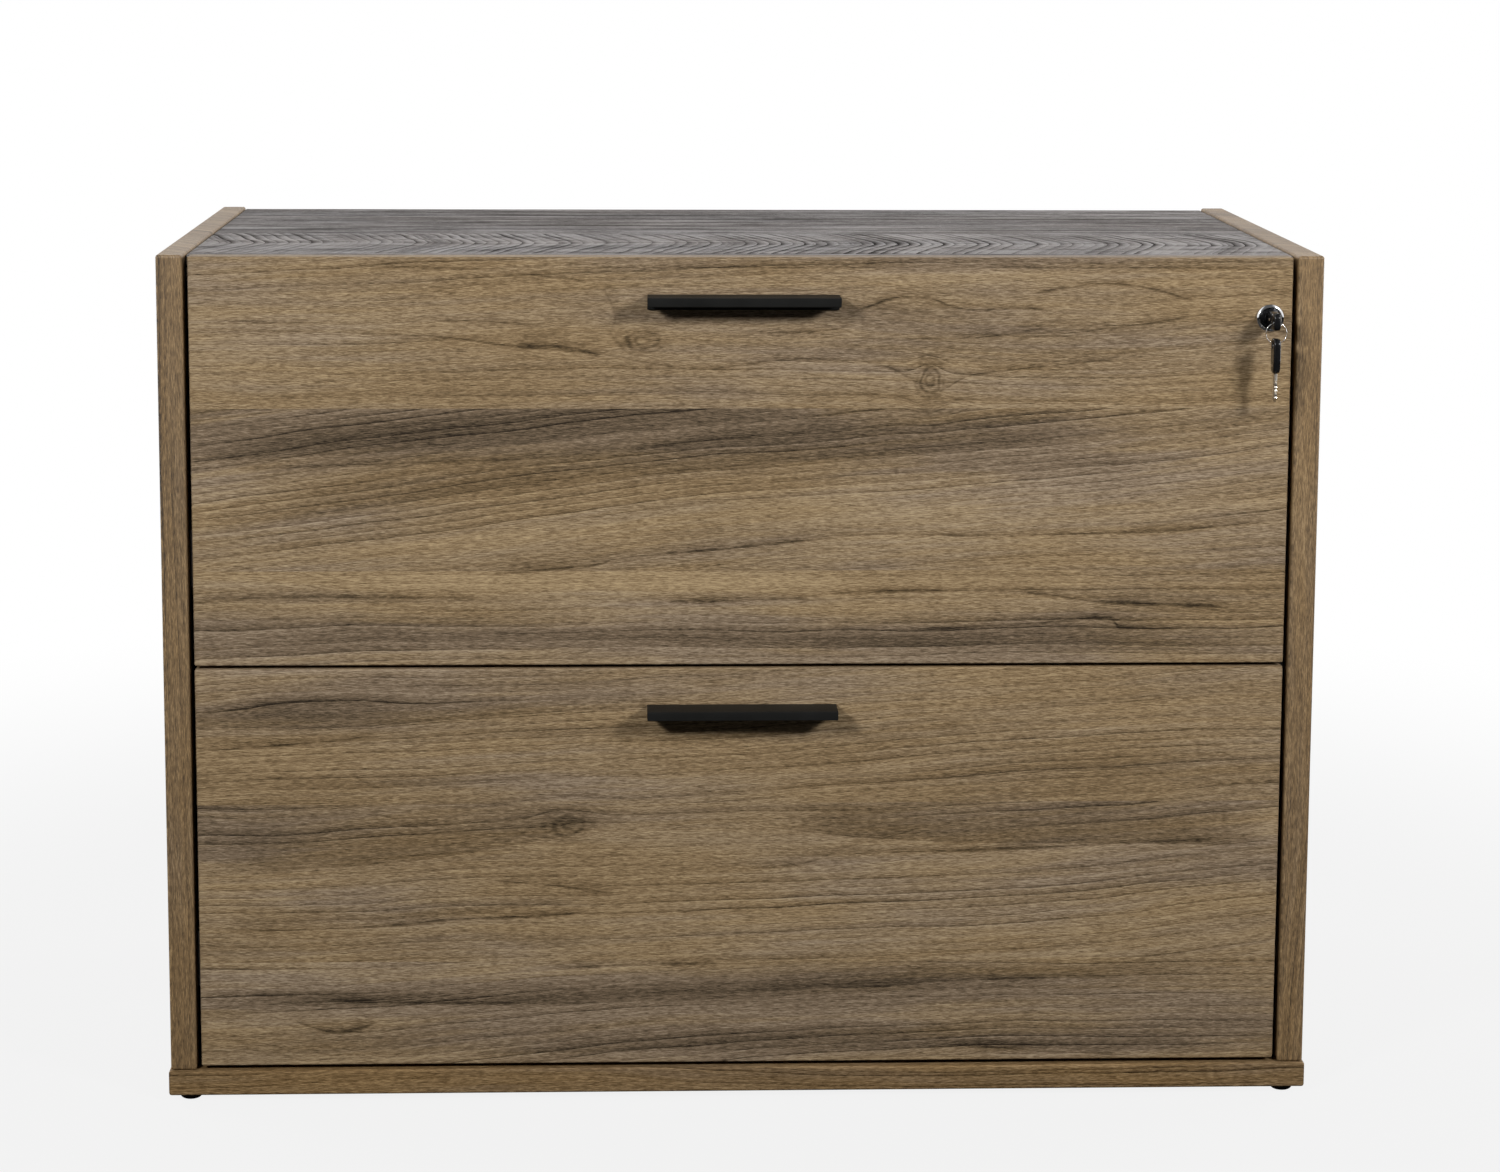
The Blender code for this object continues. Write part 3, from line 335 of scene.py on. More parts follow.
class Board:
    """The staves of a printed board, and the figure that its decor puts on them."""

    def __init__(self, graph, decor):
        self.graph, self.decor = graph, decor
        place = graph.split(graph.place())
        self.along, self.across, self.through = (place[axis] for axis in BOARD_AXES[decor["board"]])
        height = graph.share(self.across, decor["stave_edge"], decor["stave_width"])
        self.stave = graph.math("FLOOR", height)
        self.slide = graph.add(graph.times(self.stave, STAVE_SLIDE), decor["seed"])
        self.shelf = graph.times(self.stave, STAVE_SHELF)
        self.sway = self.swing("sway", decor["sway"])
        self.wave = self.swing("wave", WAVE)
        self.ripple = self.swing("ripple", RIPPLE)
        self.cluster = graph.step(self.noise("cluster"), *GROWTH_CLUSTER)

    def own(self, index):
        """1 on one stave, and 0 on the others."""
        return self.graph.math("COMPARE", self.stave, index, 0.5)

    def noise(self, name, course=None):
        """A noise of the print, which follows a course where one is given."""
        g = self.graph
        run, rise, offset, octaves, roughness = NOISES[name]
        x = g.add(g.times(self.along, run), self.slide, offset)
        if course is None:
            course, z = self.across, g.times(self.through, rise)
        else:
            z = COURSE_DEPTH
        y = g.add(g.times(course, rise), self.shelf)
        return g.noise(g.vector(x, y, z), detail=octaves, roughness=roughness)

    def swing(self, name, size, course=None):
        """A noise of the print about zero, from -size to size at most."""
        return self.graph.centred(self.noise(name, course), size)

    def stave_values(self):
        """Tone, depth of the lines and slope of the grain, which differ from stave to stave."""
        g = self.graph
        values = [self.decor["tone"], self.decor["line_depth"], 0.0]
        for index, changes in self.decor["staves"].items():
            own = self.own(index)
            values = [g.add(value, g.times(own, change)) for value, change in zip(values, changes)]
        return values

    def grain(self, slope):
        """The course of the grain: sloping or arched by its stave, and swaying."""
        g = self.graph
        course = g.less(g.add(self.across, self.through), g.times(self.along, slope))
        if self.decor["arches"]:
            index, middle, bend = self.decor["arches"]
            offset = g.less(self.across, middle)
            reach = g.math("SQRT", g.add(g.squared(offset), ARCH_ROUND**2))
            arch = g.add(g.times(reach, bend), self.along, self.through)
            course = g.add(course, g.times(g.less(arch, course), self.own(index)))
        return g.add(course, self.sway, self.wave, self.ripple)

    def fibres(self):
        """The course of the fibres, which is almost straight."""
        g = self.graph
        bend = g.times(g.add(self.sway, self.wave), FIBRE_BEND)
        return g.add(self.across, self.through, bend, self.ripple)

    def knots(self, course):
        """The course as the knots part it, and the dark of their eyes."""
        g, eyes = self.graph, 0.0
        wobble = self.swing("wobble", KNOT_WOBBLE)
        height = g.add(self.across, self.ripple)
        for centre, halves, strength in self.decor["knots"]:
            parting, eye = knot(g, self.along, height, wobble, centre, halves)
            course = g.less(course, parting)
            eyes = g.add(eyes, g.times(eye, strength))
        return course, eyes

    def rings(self, course, period, thin, tail, run):
        """Growth rings: each has a sharp lower line over a light one, and fades upwards."""
        g = self.graph
        turns = g.math("DIVIDE", course, period)
        count = g.math("FLOOR", turns)
        phase = g.math("FRACT", turns)
        luck = g.node("TexWhiteNoise", {"W": count}, noise_dimensions="1D")
        place = g.vector(g.add(g.times(self.along, run), self.slide), count, COURSE_DEPTH)
        length = g.step(g.noise(place, detail=1.0), *GROWTH_LENGTH)
        amount = g.times(g.add(g.times(luck, GROWTH_LUCK), 1 - GROWTH_LUCK), length)
        rest = g.less(1.0, phase)
        stroke = g.fading(phase, period / thin)
        fade = g.times(g.math("POWER", rest, TAIL_POWER), tail)
        glint = g.times(g.fading(rest, period / thin), -GROWTH_GLINT)
        ring = g.add(g.math("MAXIMUM", stroke, fade), glint)
        return g.times(ring, g.times(amount, self.cluster))

    def smoke(self):
        """Soft dark and light patches, each on its own stave."""
        g, smoke = self.graph, 0.0
        drift = g.add(self.across, g.times(self.sway, SMOKE_SWAY), g.times(self.wave, SMOKE_WAVE))
        for index, centre, halves, strength in self.decor["smoke"]:
            patch = g.fading(distance_squared(g, self.along, drift, centre, halves))
            smoke = g.add(smoke, g.times(g.times(patch, strength), self.own(index)))
        return smoke

    def marks(self):
        """Dark marks: ink lines along and across the grain, and shaded zones on staves."""
        g, decor = self.graph, self.decor
        swell = g.step(self.noise("swell"), *INK_SWELL)
        press = g.step(self.noise("press"), *INK_PRESS)
        shake = g.times(self.ripple, INK_RIPPLE)
        height = g.add(self.across, shake, g.times(self.wave, INK_WAVE))
        aside = g.add(self.along, shake)
        marks = [ink_line(g, self.along, height, swell, press, *ink) for ink in decor["inks"]]
        marks += [ink_line(g, self.across, aside, swell, press, *ink) for ink in decor["upright_inks"]]
        for index, *zone in decor["shades"]:
            marks.append(g.times(shade(g, self.along, height, *zone), self.own(index)))
        return marks


WALNUT_STOPS = [
    (0.00, srgb(44, 35, 25)),
    (0.20, srgb(77, 64, 47)),
    (0.45, srgb(104, 88, 67)),
    (0.70, srgb(133, 112, 87)),
    (1.00, srgb(166, 145, 117)),
    (1.30, srgb(196, 174, 143)),
]

# Warm to cool casts over the walnut, and the even cast of the charcoal
WALNUT_TINTS = [
    (0.35, (1.00, 0.96, 0.84, 1.0)),
    (0.52, (0.99, 0.98, 0.93, 1.0)),
    (0.72, (0.91, 0.93, 1.00, 1.0)),
]
CHARCOAL_TINTS = [(0.30, (1.0, 0.98, 0.97, 1.0)), (0.70, (0.95, 0.96, 0.98, 1.0))]

EDGING_STOPS = [
    (0.00, srgb(40, 29, 16)),
    (0.20, srgb(70, 54, 35)),
    (0.45, srgb(100, 80, 55)),
    (0.70, srgb(128, 104, 74)),
    (1.00, srgb(160, 134, 100)),
    (1.30, srgb(190, 163, 125)),
]

# Tones of the charcoal print, set lighter than the print itself: the top's grazing sheen is painted into
# them
CHARCOAL_STOPS = [
    (0.00, srgb(52, 49, 48)),
    (0.30, srgb(80, 77, 75)),
    (0.65, srgb(113, 109, 107)),
    (1.00, srgb(156, 152, 150)),
    (1.30, srgb(192, 188, 186)),
]


def woodgrain(name, decor):
    """Printed woodgrain laminate: staves, growth rings, smoky figure, ink lines, fibres and pores."""
    g = Finish(name)
    board = Board(g, decor)
    tone, depth, slope = board.stave_values()
    grain = board.grain(slope)
    parted, eyes = board.knots(grain)
    bands = board.rings(parted, decor["band"], BAND_THIN, BAND_TAIL, BAND_RUN)
    lines = board.rings(parted, decor["ring"], decor["thin"], LINE_TAIL, LINE_RUN)
    smoke = board.smoke()
    fibres = board.fibres()
    fibre = board.swing("fibre", FIBRE, fibres)
    pore = g.step(board.noise("pore", fibres), *PORE_EDGE)
    light = g.add(
        tone,
        board.swing("cloud", CLOUD, grain),
        board.swing("strand", STRAND, grain),
        board.swing("streak", decor["streak"]),
        fibre,
    )
    dark = g.add(
        g.times(bands, g.add(g.times(smoke, SMOKE_ON_BANDS), decor["band_depth"])),
        g.times(lines, g.add(g.times(smoke, SMOKE_ON_LINES), depth)),
        g.times(smoke, SMOKE_DARK),
        g.times(pore, PORE_DARK),
        eyes,
        *board.marks(),
    )
    level = g.less(light, dark)
    highest = decor["stops"][-1][0]
    stops = [(place / highest, colour) for place, colour in decor["stops"]]
    printed = g.ramp(g.math("DIVIDE", level, highest), stops)
    warmth = board.swing("warmth", WARMTH, grain)
    hue = g.add(board.noise("hue"), warmth, g.times(smoke, SMOKE_HUE), HUE_SHIFT)
    tint = g.ramp(hue, decor["tints"])
    colour = g.node("Mix", {0: 1.0, 6: printed, 7: tint}, 2, data_type="RGBA", blend_type="MULTIPLY")
    relief = g.add(g.times(fibre, FIBRE_HEIGHT), g.times(pore, PORE_HEIGHT))
    g.bump(relief, PRINT_RELIEF, PRINT_BUMP)
    roughness = g.step(level, 0.0, 1.0, *PRINT_ROUGHNESS)
    return g.done(colour, roughness, Specular_IOR_Level=decor["shine"])


# Figure of a plain board, with staves counted from stave_edge and places along and across the grain
PLAIN_DECOR = {
    "stave_width": 0.129,
    "staves": {},  # stave: lighter, deeper lines, steeper grain
    "knots": (),  # centre, half lengths, strength
    "smoke": (),  # stave, centre, half lengths, strength
    "shades": (),  # stave, points of the lower edge, reach, strength
    "inks": (),  # points, width, strength
    "upright_inks": (),  # points with their height first, width, strength
    "arches": (),  # stave, middle, bend
    "sway": 0.040,
    "ring": 0.0066,
    "band": 0.019,
    "thin": 0.0010,
    "line_depth": 0.56,
    "band_depth": 0.34,
    "streak": 0.0,
    "stops": WALNUT_STOPS,
    "tints": WALNUT_TINTS,
    "shine": 0.12,
}

TOP_FRONT_DECOR = PLAIN_DECOR | {
    "board": "front",
    "staves": {0: (0.10, -0.06, 0.02), -1: (0.08, 0.30, 0.09), -2: (0.14, 0.26, 0.02)},
    "seed": 3.0,
    "stave_edge": 0.5610,
    "knots": [
        ((-0.080, 0.614), (0.0115, 0.0056), 0.52),
        ((0.146, 0.584), (0.0070, 0.0105), 0.44),
        ((0.136, 0.637), (0.0330, 0.0070), 0.16),
    ],
    "smoke": [
        (-1, (-0.340, 0.551), (0.24, 0.020), 0.95),
        (-1, (0.000, 0.554), (0.20, 0.022), 0.95),
        (-1, (0.160, 0.520), (0.24, 0.022), 0.45),
        (0, (0.180, 0.680), (0.36, 0.007), 0.90),
        (-2, (-0.300, 0.376), (0.35, 0.018), 0.75),
        (-2, (0.150, 0.372), (0.30, 0.014), 0.55),
        (-2, (-0.080, 0.421), (0.42, 0.009), -0.80),
        (-1, (-0.380, 0.495), (0.14, 0.020), -0.40),
        (-2, (0.360, 0.415), (0.14, 0.010), 0.60),
        (0, (0.230, 0.620), (0.22, 0.020), 0.45),
        (0, (0.080, 0.605), (0.09, 0.008), 0.55),
    ],
    "shades": [
        (-1, [(-0.43, 0.466), (-0.371, 0.4715), (-0.228, 0.4916), (-0.077, 0.5076), (0.003, 0.5157),
              (0.10, 0.5225), (0.30, 0.533)], 0.075, 0.19),
        (-1, [(-0.46, 0.518), (-0.19, 0.532), (-0.05, 0.548), (0.06, 0.556)], 0.040, 0.20),
        (-2, [(-0.43, 0.372), (-0.20, 0.377), (0.10, 0.370), (0.43, 0.366)], 0.030, 0.16),
    ],
    "upright_inks": [
        ([(0.6225, -0.107), (0.6297, -0.100), (0.641, -0.102), (0.652, -0.107), (0.661, -0.111)],
         0.0016, 0.20),
    ],
    "inks": [
        ([(-0.30, 0.672), (-0.204, 0.670), (-0.15, 0.6645), (-0.112, 0.661)], 0.0007, 0.26),
        ([(-0.16, 0.6725), (0.00, 0.6718), (0.20, 0.6722), (0.43, 0.6712)], 0.0007, 0.34),
        ([(-0.42, 0.631), (-0.30, 0.628), (-0.22, 0.630), (-0.14, 0.622)], 0.0008, 0.30),
        ([(-0.42, 0.622), (-0.25, 0.618), (-0.17, 0.609), (-0.12, 0.605), (-0.05, 0.594), (0.00, 0.591)],
         0.0008, 0.32),
        ([(-0.180, 0.610), (-0.140, 0.609), (-0.105, 0.600)], 0.0024, 0.55),
        ([(-0.03, 0.592), (0.02, 0.598), (0.05, 0.600), (0.10, 0.597), (0.125, 0.588), (0.148, 0.567)],
         0.0012, 0.34),
        ([(0.144, 0.567), (0.161, 0.578), (0.182, 0.588), (0.215, 0.592), (0.30, 0.601)], 0.0009, 0.45),
        ([(-0.064, 0.614), (-0.017, 0.621), (0.029, 0.621), (0.068, 0.623), (0.092, 0.631)],
         0.0007, 0.28),
        ([(0.075, 0.629), (0.10, 0.642), (0.133, 0.649), (0.177, 0.639), (0.229, 0.640), (0.25, 0.631)],
         0.0009, 0.38),
        ([(0.13, 0.616), (0.215, 0.621), (0.248, 0.632)], 0.0008, 0.30),
        ([(0.22, 0.650), (0.25, 0.656), (0.29, 0.659), (0.34, 0.650), (0.36, 0.641)], 0.0009, 0.30),
        ([(0.20, 0.615), (0.29, 0.625), (0.34, 0.632), (0.36, 0.640)], 0.0009, 0.30),
        ([(-0.43, 0.513), (-0.23, 0.519), (-0.16, 0.522), (0.02, 0.541), (0.12, 0.547)], 0.0016, 0.40),
        ([(-0.21, 0.430), (-0.115, 0.437), (-0.10, 0.441), (0.00, 0.451), (0.10, 0.461)], 0.0014, 0.60),
        ([(0.02, 0.454), (0.10, 0.461), (0.20, 0.460), (0.29, 0.462), (0.43, 0.472)], 0.0012, 0.50),
        ([(-0.43, 0.410), (-0.32, 0.412), (-0.20, 0.410)], 0.0014, 0.36),
        ([(-0.10, 0.409), (0.00, 0.408), (0.10, 0.415), (0.20, 0.415), (0.29, 0.406), (0.43, 0.401)],
         0.0016, 0.52),
        ([(0.13, 0.384), (0.25, 0.390), (0.29, 0.393), (0.30, 0.386), (0.36, 0.384)], 0.0012, 0.40),
    ],
    "tone": 0.81,
}

BOTTOM_FRONT_DECOR = PLAIN_DECOR | {
    "board": "front",
    "staves": {0: (0.06, 0.14, 0.03), -1: (0.10, 0.28, 0.05), -2: (0.08, 0.24, 0.01)},
    "seed": 11.0,
    "stave_edge": 0.2440,
    "knots": [
        ((-0.139, 0.226), (0.0120, 0.0080), 0.34),
        ((-0.340, 0.321), (0.0400, 0.0080), 0.14),
    ],
    "smoke": [
        (0, (-0.330, 0.325), (0.13, 0.020), 0.65),
        (0, (-0.100, 0.335), (0.16, 0.016), 0.50),
        (-1, (-0.380, 0.225), (0.20, 0.022), 0.80),
        (-1, (0.300, 0.243), (0.24, 0.018), 0.50),
        (-1, (0.400, 0.190), (0.13, 0.018), 0.80),
        (-2, (0.000, 0.085), (0.28, 0.016), 0.85),
        (-2, (-0.250, 0.088), (0.30, 0.014), 0.60),
        (-2, (0.100, 0.045), (0.30, 0.012), 0.70),
        (-2, (0.400, 0.055), (0.12, 0.020), 0.60),
    ],
    "shades": [
        (-1, [(0.02, 0.226), (0.13, 0.2125), (0.30, 0.209), (0.44, 0.207)], 0.050, 0.28),
        (-1, [(-0.43, 0.190), (-0.28, 0.196), (-0.16, 0.214), (-0.08, 0.232)], 0.050, 0.20),
        (-1, [(-0.43, 0.146), (-0.25, 0.152), (-0.09, 0.172)], 0.016, 0.16),
        (-2, [(-0.43, 0.080), (-0.20, 0.080), (0.00, 0.088), (0.20, 0.097), (0.43, 0.100)], 0.024, 0.18),
        (-2, [(-0.43, 0.036), (0.00, 0.040), (0.20, 0.040), (0.43, 0.034)], 0.030, 0.16),
    ],
    "inks": [
        ([(-0.43, 0.288), (-0.36, 0.293), (-0.30, 0.299), (-0.285, 0.305)], 0.0010, 0.40),
        ([(-0.20, 0.181), (-0.14, 0.176), (-0.10, 0.170)], 0.0016, 0.55),
        ([(-0.43, 0.142), (-0.32, 0.143), (-0.22, 0.150), (-0.14, 0.154), (-0.115, 0.160), (-0.10, 0.169)],
         0.0012, 0.55),
        ([(0.00, 0.190), (0.05, 0.194), (0.085, 0.207), (0.12, 0.216), (0.15, 0.226)], 0.0010, 0.38),
        ([(0.02, 0.199), (0.10, 0.202), (0.20, 0.205), (0.43, 0.215)], 0.0012, 0.42),
        ([(-0.43, 0.094), (-0.35, 0.086), (-0.24, 0.081), (-0.08, 0.081), (0.02, 0.089)], 0.0014, 0.34),
        ([(-0.16, 0.109), (-0.05, 0.112), (0.05, 0.112)], 0.0014, 0.42),
        ([(0.00, 0.090), (0.10, 0.092), (0.18, 0.097), (0.33, 0.098)], 0.0012, 0.32),
        ([(-0.36, 0.073), (-0.345, 0.062), (-0.32, 0.058), (-0.29, 0.066)], 0.0014, 0.50),
        ([(0.16, 0.044), (0.24, 0.038), (0.32, 0.034)], 0.0014, 0.45),
    ],
    "tone": 0.815,
}

SIDE_DECOR = PLAIN_DECOR | {
    "board": "upright",
    "seed": 23.0,
    "stave_edge": 0.02,
    "ring": 0.0042,
    "band": 0.012,
    "stops": EDGING_STOPS,
    "tone": 0.71,
    "shine": 0.60,
}

BASE_DECOR = PLAIN_DECOR | {
    "board": "flat",
    "seed": 31.0,
    "stave_edge": 0.50,
    "ring": 0.0036,
    "band": 0.010,
    "stops": EDGING_STOPS,
    "tone": 0.80,
}

# The charcoal top has no gloss (shine 0), so the sheen it shows is painted into its lighter tones
TOP_DECOR = PLAIN_DECOR | {
    "board": "flat",
    "seed": 41.0,
    "stave_edge": -0.002,
    "stave_width": 0.172,
    "arches": (-1, -0.085, 0.42),
    "staves": {-2: (0.04, 0.0, 0.0), -1: (0.12, 0.0, 0.0)},
    "sway": 0.012,
    "ring": 0.0095,
    "band": 0.034,
    "thin": 0.0026,
    "line_depth": 1.40,
    "band_depth": 0.70,
    "streak": 0.60,
    "stops": CHARCOAL_STOPS,
    "tints": CHARCOAL_TINTS,
    "tone": 0.98,
    "shine": 0.0,
}


def drawer_board(name):
    """Plain melamine on particle board, with a faint linen print."""
    g = Finish(name)
    place = g.place()
    weave = g.less(g.noise(place, scale=900.0, detail=1.0), 0.5)
    cloud = g.less(g.noise(place, scale=14.0, detail=3.0), 0.5)
    level = g.add(g.times(weave, 0.35), g.times(cloud, 0.5), 0.5)
    colour = g.ramp(level, [(0.0, srgb(146, 140, 132)), (1.0, srgb(166, 160, 152))])
    g.bump(weave, distance=0.00006, strength=0.5)
    return g.done(colour, roughness=0.55, Specular_IOR_Level=0.3)


def powder_coat(name):
    """Matt black powder coat with its fine orange peel."""
    g = Finish(name)
    place = g.place()
    peel = g.noise(place, scale=2200.0)
    cloud = g.noise(place, scale=40.0)
    colour = g.ramp(cloud, [(0.3, srgb(26, 26, 25)), (0.7, srgb(32, 32, 31))])
    roughness = g.step(peel, low=0.2, high=0.8, to_low=0.42, to_high=0.56)
    g.bump(peel, distance=0.00008, strength=0.5)
    return g.done(colour, roughness, Specular_IOR_Level=0.08)


def moulded_plastic(name):
    """Smooth black moulding with a very fine grain."""
    g = Finish(name)
    place = g.place()
    grain = g.noise(place, scale=3500.0)
    cloud = g.noise(place, scale=120.0)
    colour = g.ramp(cloud, [(0.3, srgb(14, 14, 15)), (0.7, srgb(22, 22, 23))])
    roughness = g.step(grain, low=0.2, high=0.8, to_low=0.16, to_high=0.26)
    g.bump(grain, distance=0.00003, strength=0.3)
    return g.done(colour, roughness, Specular_IOR_Level=0.45)


def plated_metal(name, dark, light, roughness, streak=1.0):
    """Plated or extruded metal with faint clouds, and streaks along Y where it is drawn."""
    g = Finish(name)
    place = g.place()
    x, y, z = g.split(place)
    lines = g.noise(g.vector(x, g.times(y, streak), z), scale=1400.0)
    cloud = g.noise(place, scale=60.0, detail=4.0)
    colour = g.ramp(g.add(g.times(lines, 0.4), g.times(cloud, 0.6)), [(0.3, dark), (0.7, light)])
    rough = g.step(lines, low=0.2, high=0.8, to_low=roughness * 0.8, to_high=roughness * 1.3)
    g.bump(lines, distance=0.00003, strength=0.3)
    return g.done(colour, rough, Metallic=1.0)


def paint():
    """Gives every CAD node its finish, and returns the finishes by material slot."""
    boards = {
        "top_drawer_front": woodgrain("walnut_top_front", TOP_FRONT_DECOR),
        "bottom_drawer_front": woodgrain("walnut_bottom_front", BOTTOM_FRONT_DECOR),
        "side": woodgrain("walnut_side", SIDE_DECOR),
        "base_panel": woodgrain("walnut_base", BASE_DECOR),
        "top_panel": woodgrain("charcoal_top", TOP_DECOR),
    }
    zinc = srgb(150, 153, 156), srgb(196, 198, 200)
    chrome = srgb(222, 222, 224), srgb(240, 240, 241)
    aluminium = srgb(172, 172, 174), srgb(200, 200, 202)
    slots = {
        "drawer_board": drawer_board("melamine_board"),
        "black_metal": powder_coat("black_powder_coat"),
        "black_plastic": moulded_plastic("black_moulding"),
        "zinc_steel": plated_metal("zinc_plate", *zinc, roughness=0.34, streak=0.03),
        "chrome": plated_metal("bright_plate", *chrome, roughness=0.10),
        "aluminium": plated_metal("satin_aluminium", *aluminium, roughness=0.38),
    }
    slot_of = {part["node"]: part["material_slot"] for part in frame["record"]["subparts"]}
    for name, obj in frame["nodes"].items():
        key = "side" if name.endswith("side_panel") else name
        material = boards.get(key) or slots[slot_of[name]]
        obj.data.materials.clear()
        obj.data.materials.append(material)
    return slots


def added(name, data):
    """Adds an object to the scene."""
    obj = bpy.data.objects.new(name, data)
    bpy.context.scene.collection.objects.link(obj)
    return obj


def cleaned(bm):
    """The same mesh with its seams merged and its faces turned outwards."""
    bmesh.ops.remove_doubles(bm, verts=bm.verts, dist=MERGE)
    bmesh.ops.recalc_face_normals(bm, faces=bm.faces)
    return bm


def rounded(points, radius, steps=5):
    """A closed outline with its corners rounded."""
    outline = []
    for i, point in enumerate(points):
        corner = Vector(point)
        before = Vector(points[i - 1]) - corner
        after = Vector(points[(i + 1) % len(points)]) - corner
        half = before.angle(after) / 2
        reach = min(radius / math.tan(half), before.length / CORNER_LIMIT, after.length / CORNER_LIMIT)
        size = reach * math.tan(half)
        centre = corner + (before.normalized() + after.normalized()).normalized() * size / math.sin(half)
        first = corner + before.normalized() * reach - centre
        last = corner + after.normalized() * reach - centre
        for step in range(steps + 1):
            spoke = first.lerp(last, step / steps).normalized() * size
            outline.append(tuple(centre + spoke))
    return outline


def quarter_arc(centre, width, height, steps):
    """Points of a quarter ellipse, from over its centre to beside it."""
    turns = [math.pi / 2 * i / steps for i in range(steps + 1)]
    return [(centre[0] + width * math.sin(t), centre[1] + height * math.cos(t)) for t in turns]


def circle(radius, centre=(0.0, 0.0), steps=48):
    """A closed outline of points round a centre."""
    turns = [math.tau * i / steps for i in range(steps)]
    return [(centre[0] + radius * math.cos(t), centre[1] + radius * math.sin(t)) for t in turns]


def plate(loops, thickness, bevel, steps=3):
    """A flat plate with rounded rims, in XY about Z = 0. Loops after the first are holes."""
    curve = bpy.data.curves.new("plate", "CURVE")
    curve.dimensions = "2D"
    curve.fill_mode = "BOTH"
    curve.extrude = thickness / 2 - bevel
    curve.bevel_depth = bevel
    curve.bevel_resolution = steps
    curve.offset = -bevel
    for loop in loops:
        spline = curve.splines.new("POLY")
        spline.points.add(len(loop) - 1)
        spline.use_cyclic_u = True
        for point, (x, y) in zip(spline.points, loop):
            point.co = (x, y, 0.0, 1.0)
    obj = bpy.data.objects.new("plate", curve)
    mesh = bpy.data.meshes.new_from_object(obj)
    bm = bmesh.new()
    bm.from_mesh(mesh)
    bpy.data.objects.remove(obj)
    bpy.data.curves.remove(curve)
    bpy.data.meshes.remove(mesh)
    return cleaned(bm)


def turned(profile, steps=64):
    """A closed profile of (radius, height) points, turned about Z. Points on the axis join."""
    bm = bmesh.new()
    verts = [bm.verts.new((radius, 0.0, height)) for radius, height in profile]
    edges = [bm.edges.new((verts[i - 1], vert)) for i, vert in enumerate(verts)]
    turn = {"cent": (0, 0, 0), "axis": (0, 0, 1), "angle": math.tau, "steps": steps}
    bmesh.ops.spin(bm, geom=verts + edges, use_merge=True, **turn)
    cleaned(bm)
    loose = [edge for edge in bm.edges if not edge.link_faces]
    bmesh.ops.delete(bm, geom=loose, context="EDGES")
    return bm


def loft(rows):
    """A closed solid through outlines of equally many points, capped at both ends."""
    bm = bmesh.new()
    rings = [[bm.verts.new(point) for point in row] for row in rows]
    for ring, following in zip(rings, rings[1:]):
        for j in range(len(ring)):
            bm.faces.new((ring[j - 1], ring[j], following[j], following[j - 1]))
    bm.faces.new(rings[0])
    bm.faces.new(rings[-1])
    return cleaned(bm)


def tube(points, radius, sides=12):
    """A round wire along points, with narrowed ends."""
    path = [Vector(point) for point in points]
    rows = []
    for i, point in enumerate(path):
        ahead = path[min(i + 1, len(path) - 1)] - path[max(i - 1, 0)]
        turn = ahead.to_track_quat("Z", "Y").to_matrix()
        size = radius * (WIRE_END if i in (0, len(path) - 1) else 1.0)
        rows.append([point + turn @ Vector((*spoke, 0.0)) for spoke in circle(size, steps=sides)])
    return loft(rows)


def axes(x_axis, y_axis, place):
    """A placing matrix from a piece's own X and Y directions."""
    x_axis, y_axis = Vector(x_axis), Vector(y_axis)
    turn = Matrix((x_axis, y_axis, x_axis.cross(y_axis))).transposed().to_4x4()
    return Matrix.Translation(place) @ turn


def facing(direction, place):
    """A placing matrix that turns a piece's Z to a direction."""
    return Matrix.Translation(place) @ Vector(direction).to_track_quat("Z", "Y").to_matrix().to_4x4()


def piece(name, bm, matrix, material, slot, body, *nodes):
    """Adds a smooth-shaded piece on a body. It stands for the nodes, where any are named."""
    bmesh.ops.transform(bm, matrix=matrix, verts=bm.verts)
    for face in bm.faces:
        face.smooth = True
    for edge in bm.edges:
        edge.smooth = edge.calc_face_angle(0.0) < SHARP_ANGLE
    mesh = bpy.data.meshes.new(name)
    bm.to_mesh(mesh)
    bm.free()
    mesh.materials.append(material)
    obj = added(name, mesh)
    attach(obj, body)
    if nodes:
        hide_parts(*nodes)


def carved(solid, tool):
    """A solid less a tool, by an exact Boolean."""
    holders = []
    for bm in (solid, tool):
        mesh = bpy.data.meshes.new("holder")
        bm.to_mesh(mesh)
        bm.free()
        holders.append(added("holder", mesh))
    cut = holders[0].modifiers.new("cut", "BOOLEAN")
    cut.operation = "DIFFERENCE"
    cut.solver = "EXACT"
    cut.object = holders[1]
    seen = bpy.context.evaluated_depsgraph_get()
    mesh = bpy.data.meshes.new_from_object(holders[0].evaluated_get(seen))
    bm = bmesh.new()
    bm.from_mesh(mesh)
    for used in (mesh, *(holder.data for holder in holders)):
        bpy.data.meshes.remove(used)
    return cleaned(bm)


def cross_screw(radius, height):
    """A pan-head screw top with a cross recess, standing on Z = 0."""
    rim = SCREW_RIM * height
    dome = quarter_arc((0.0, rim), radius, height - rim, steps=6)
    head = turned(dome + [(radius, 0.0), (0.0, 0.0)], steps=32)
    arm, wide = CROSS_ARM * radius, CROSS_WIDTH * radius
    quarter = [(arm, -wide), (arm, wide), (wide, wide)]
    turns = [Matrix.Rotation(math.pi / 2 * i, 2) for i in range(4)]
    cross = [turn @ Vector(point) for turn in turns for point in quarter]
    rows = [
        [(share * x, share * y, height * rise) for x, y in cross]
        for share, rise in ((CROSS_TAPER, 1 - CROSS_DEPTH), (1.0, CROSS_TOP))
    ]
    return carved(head, loft(rows))


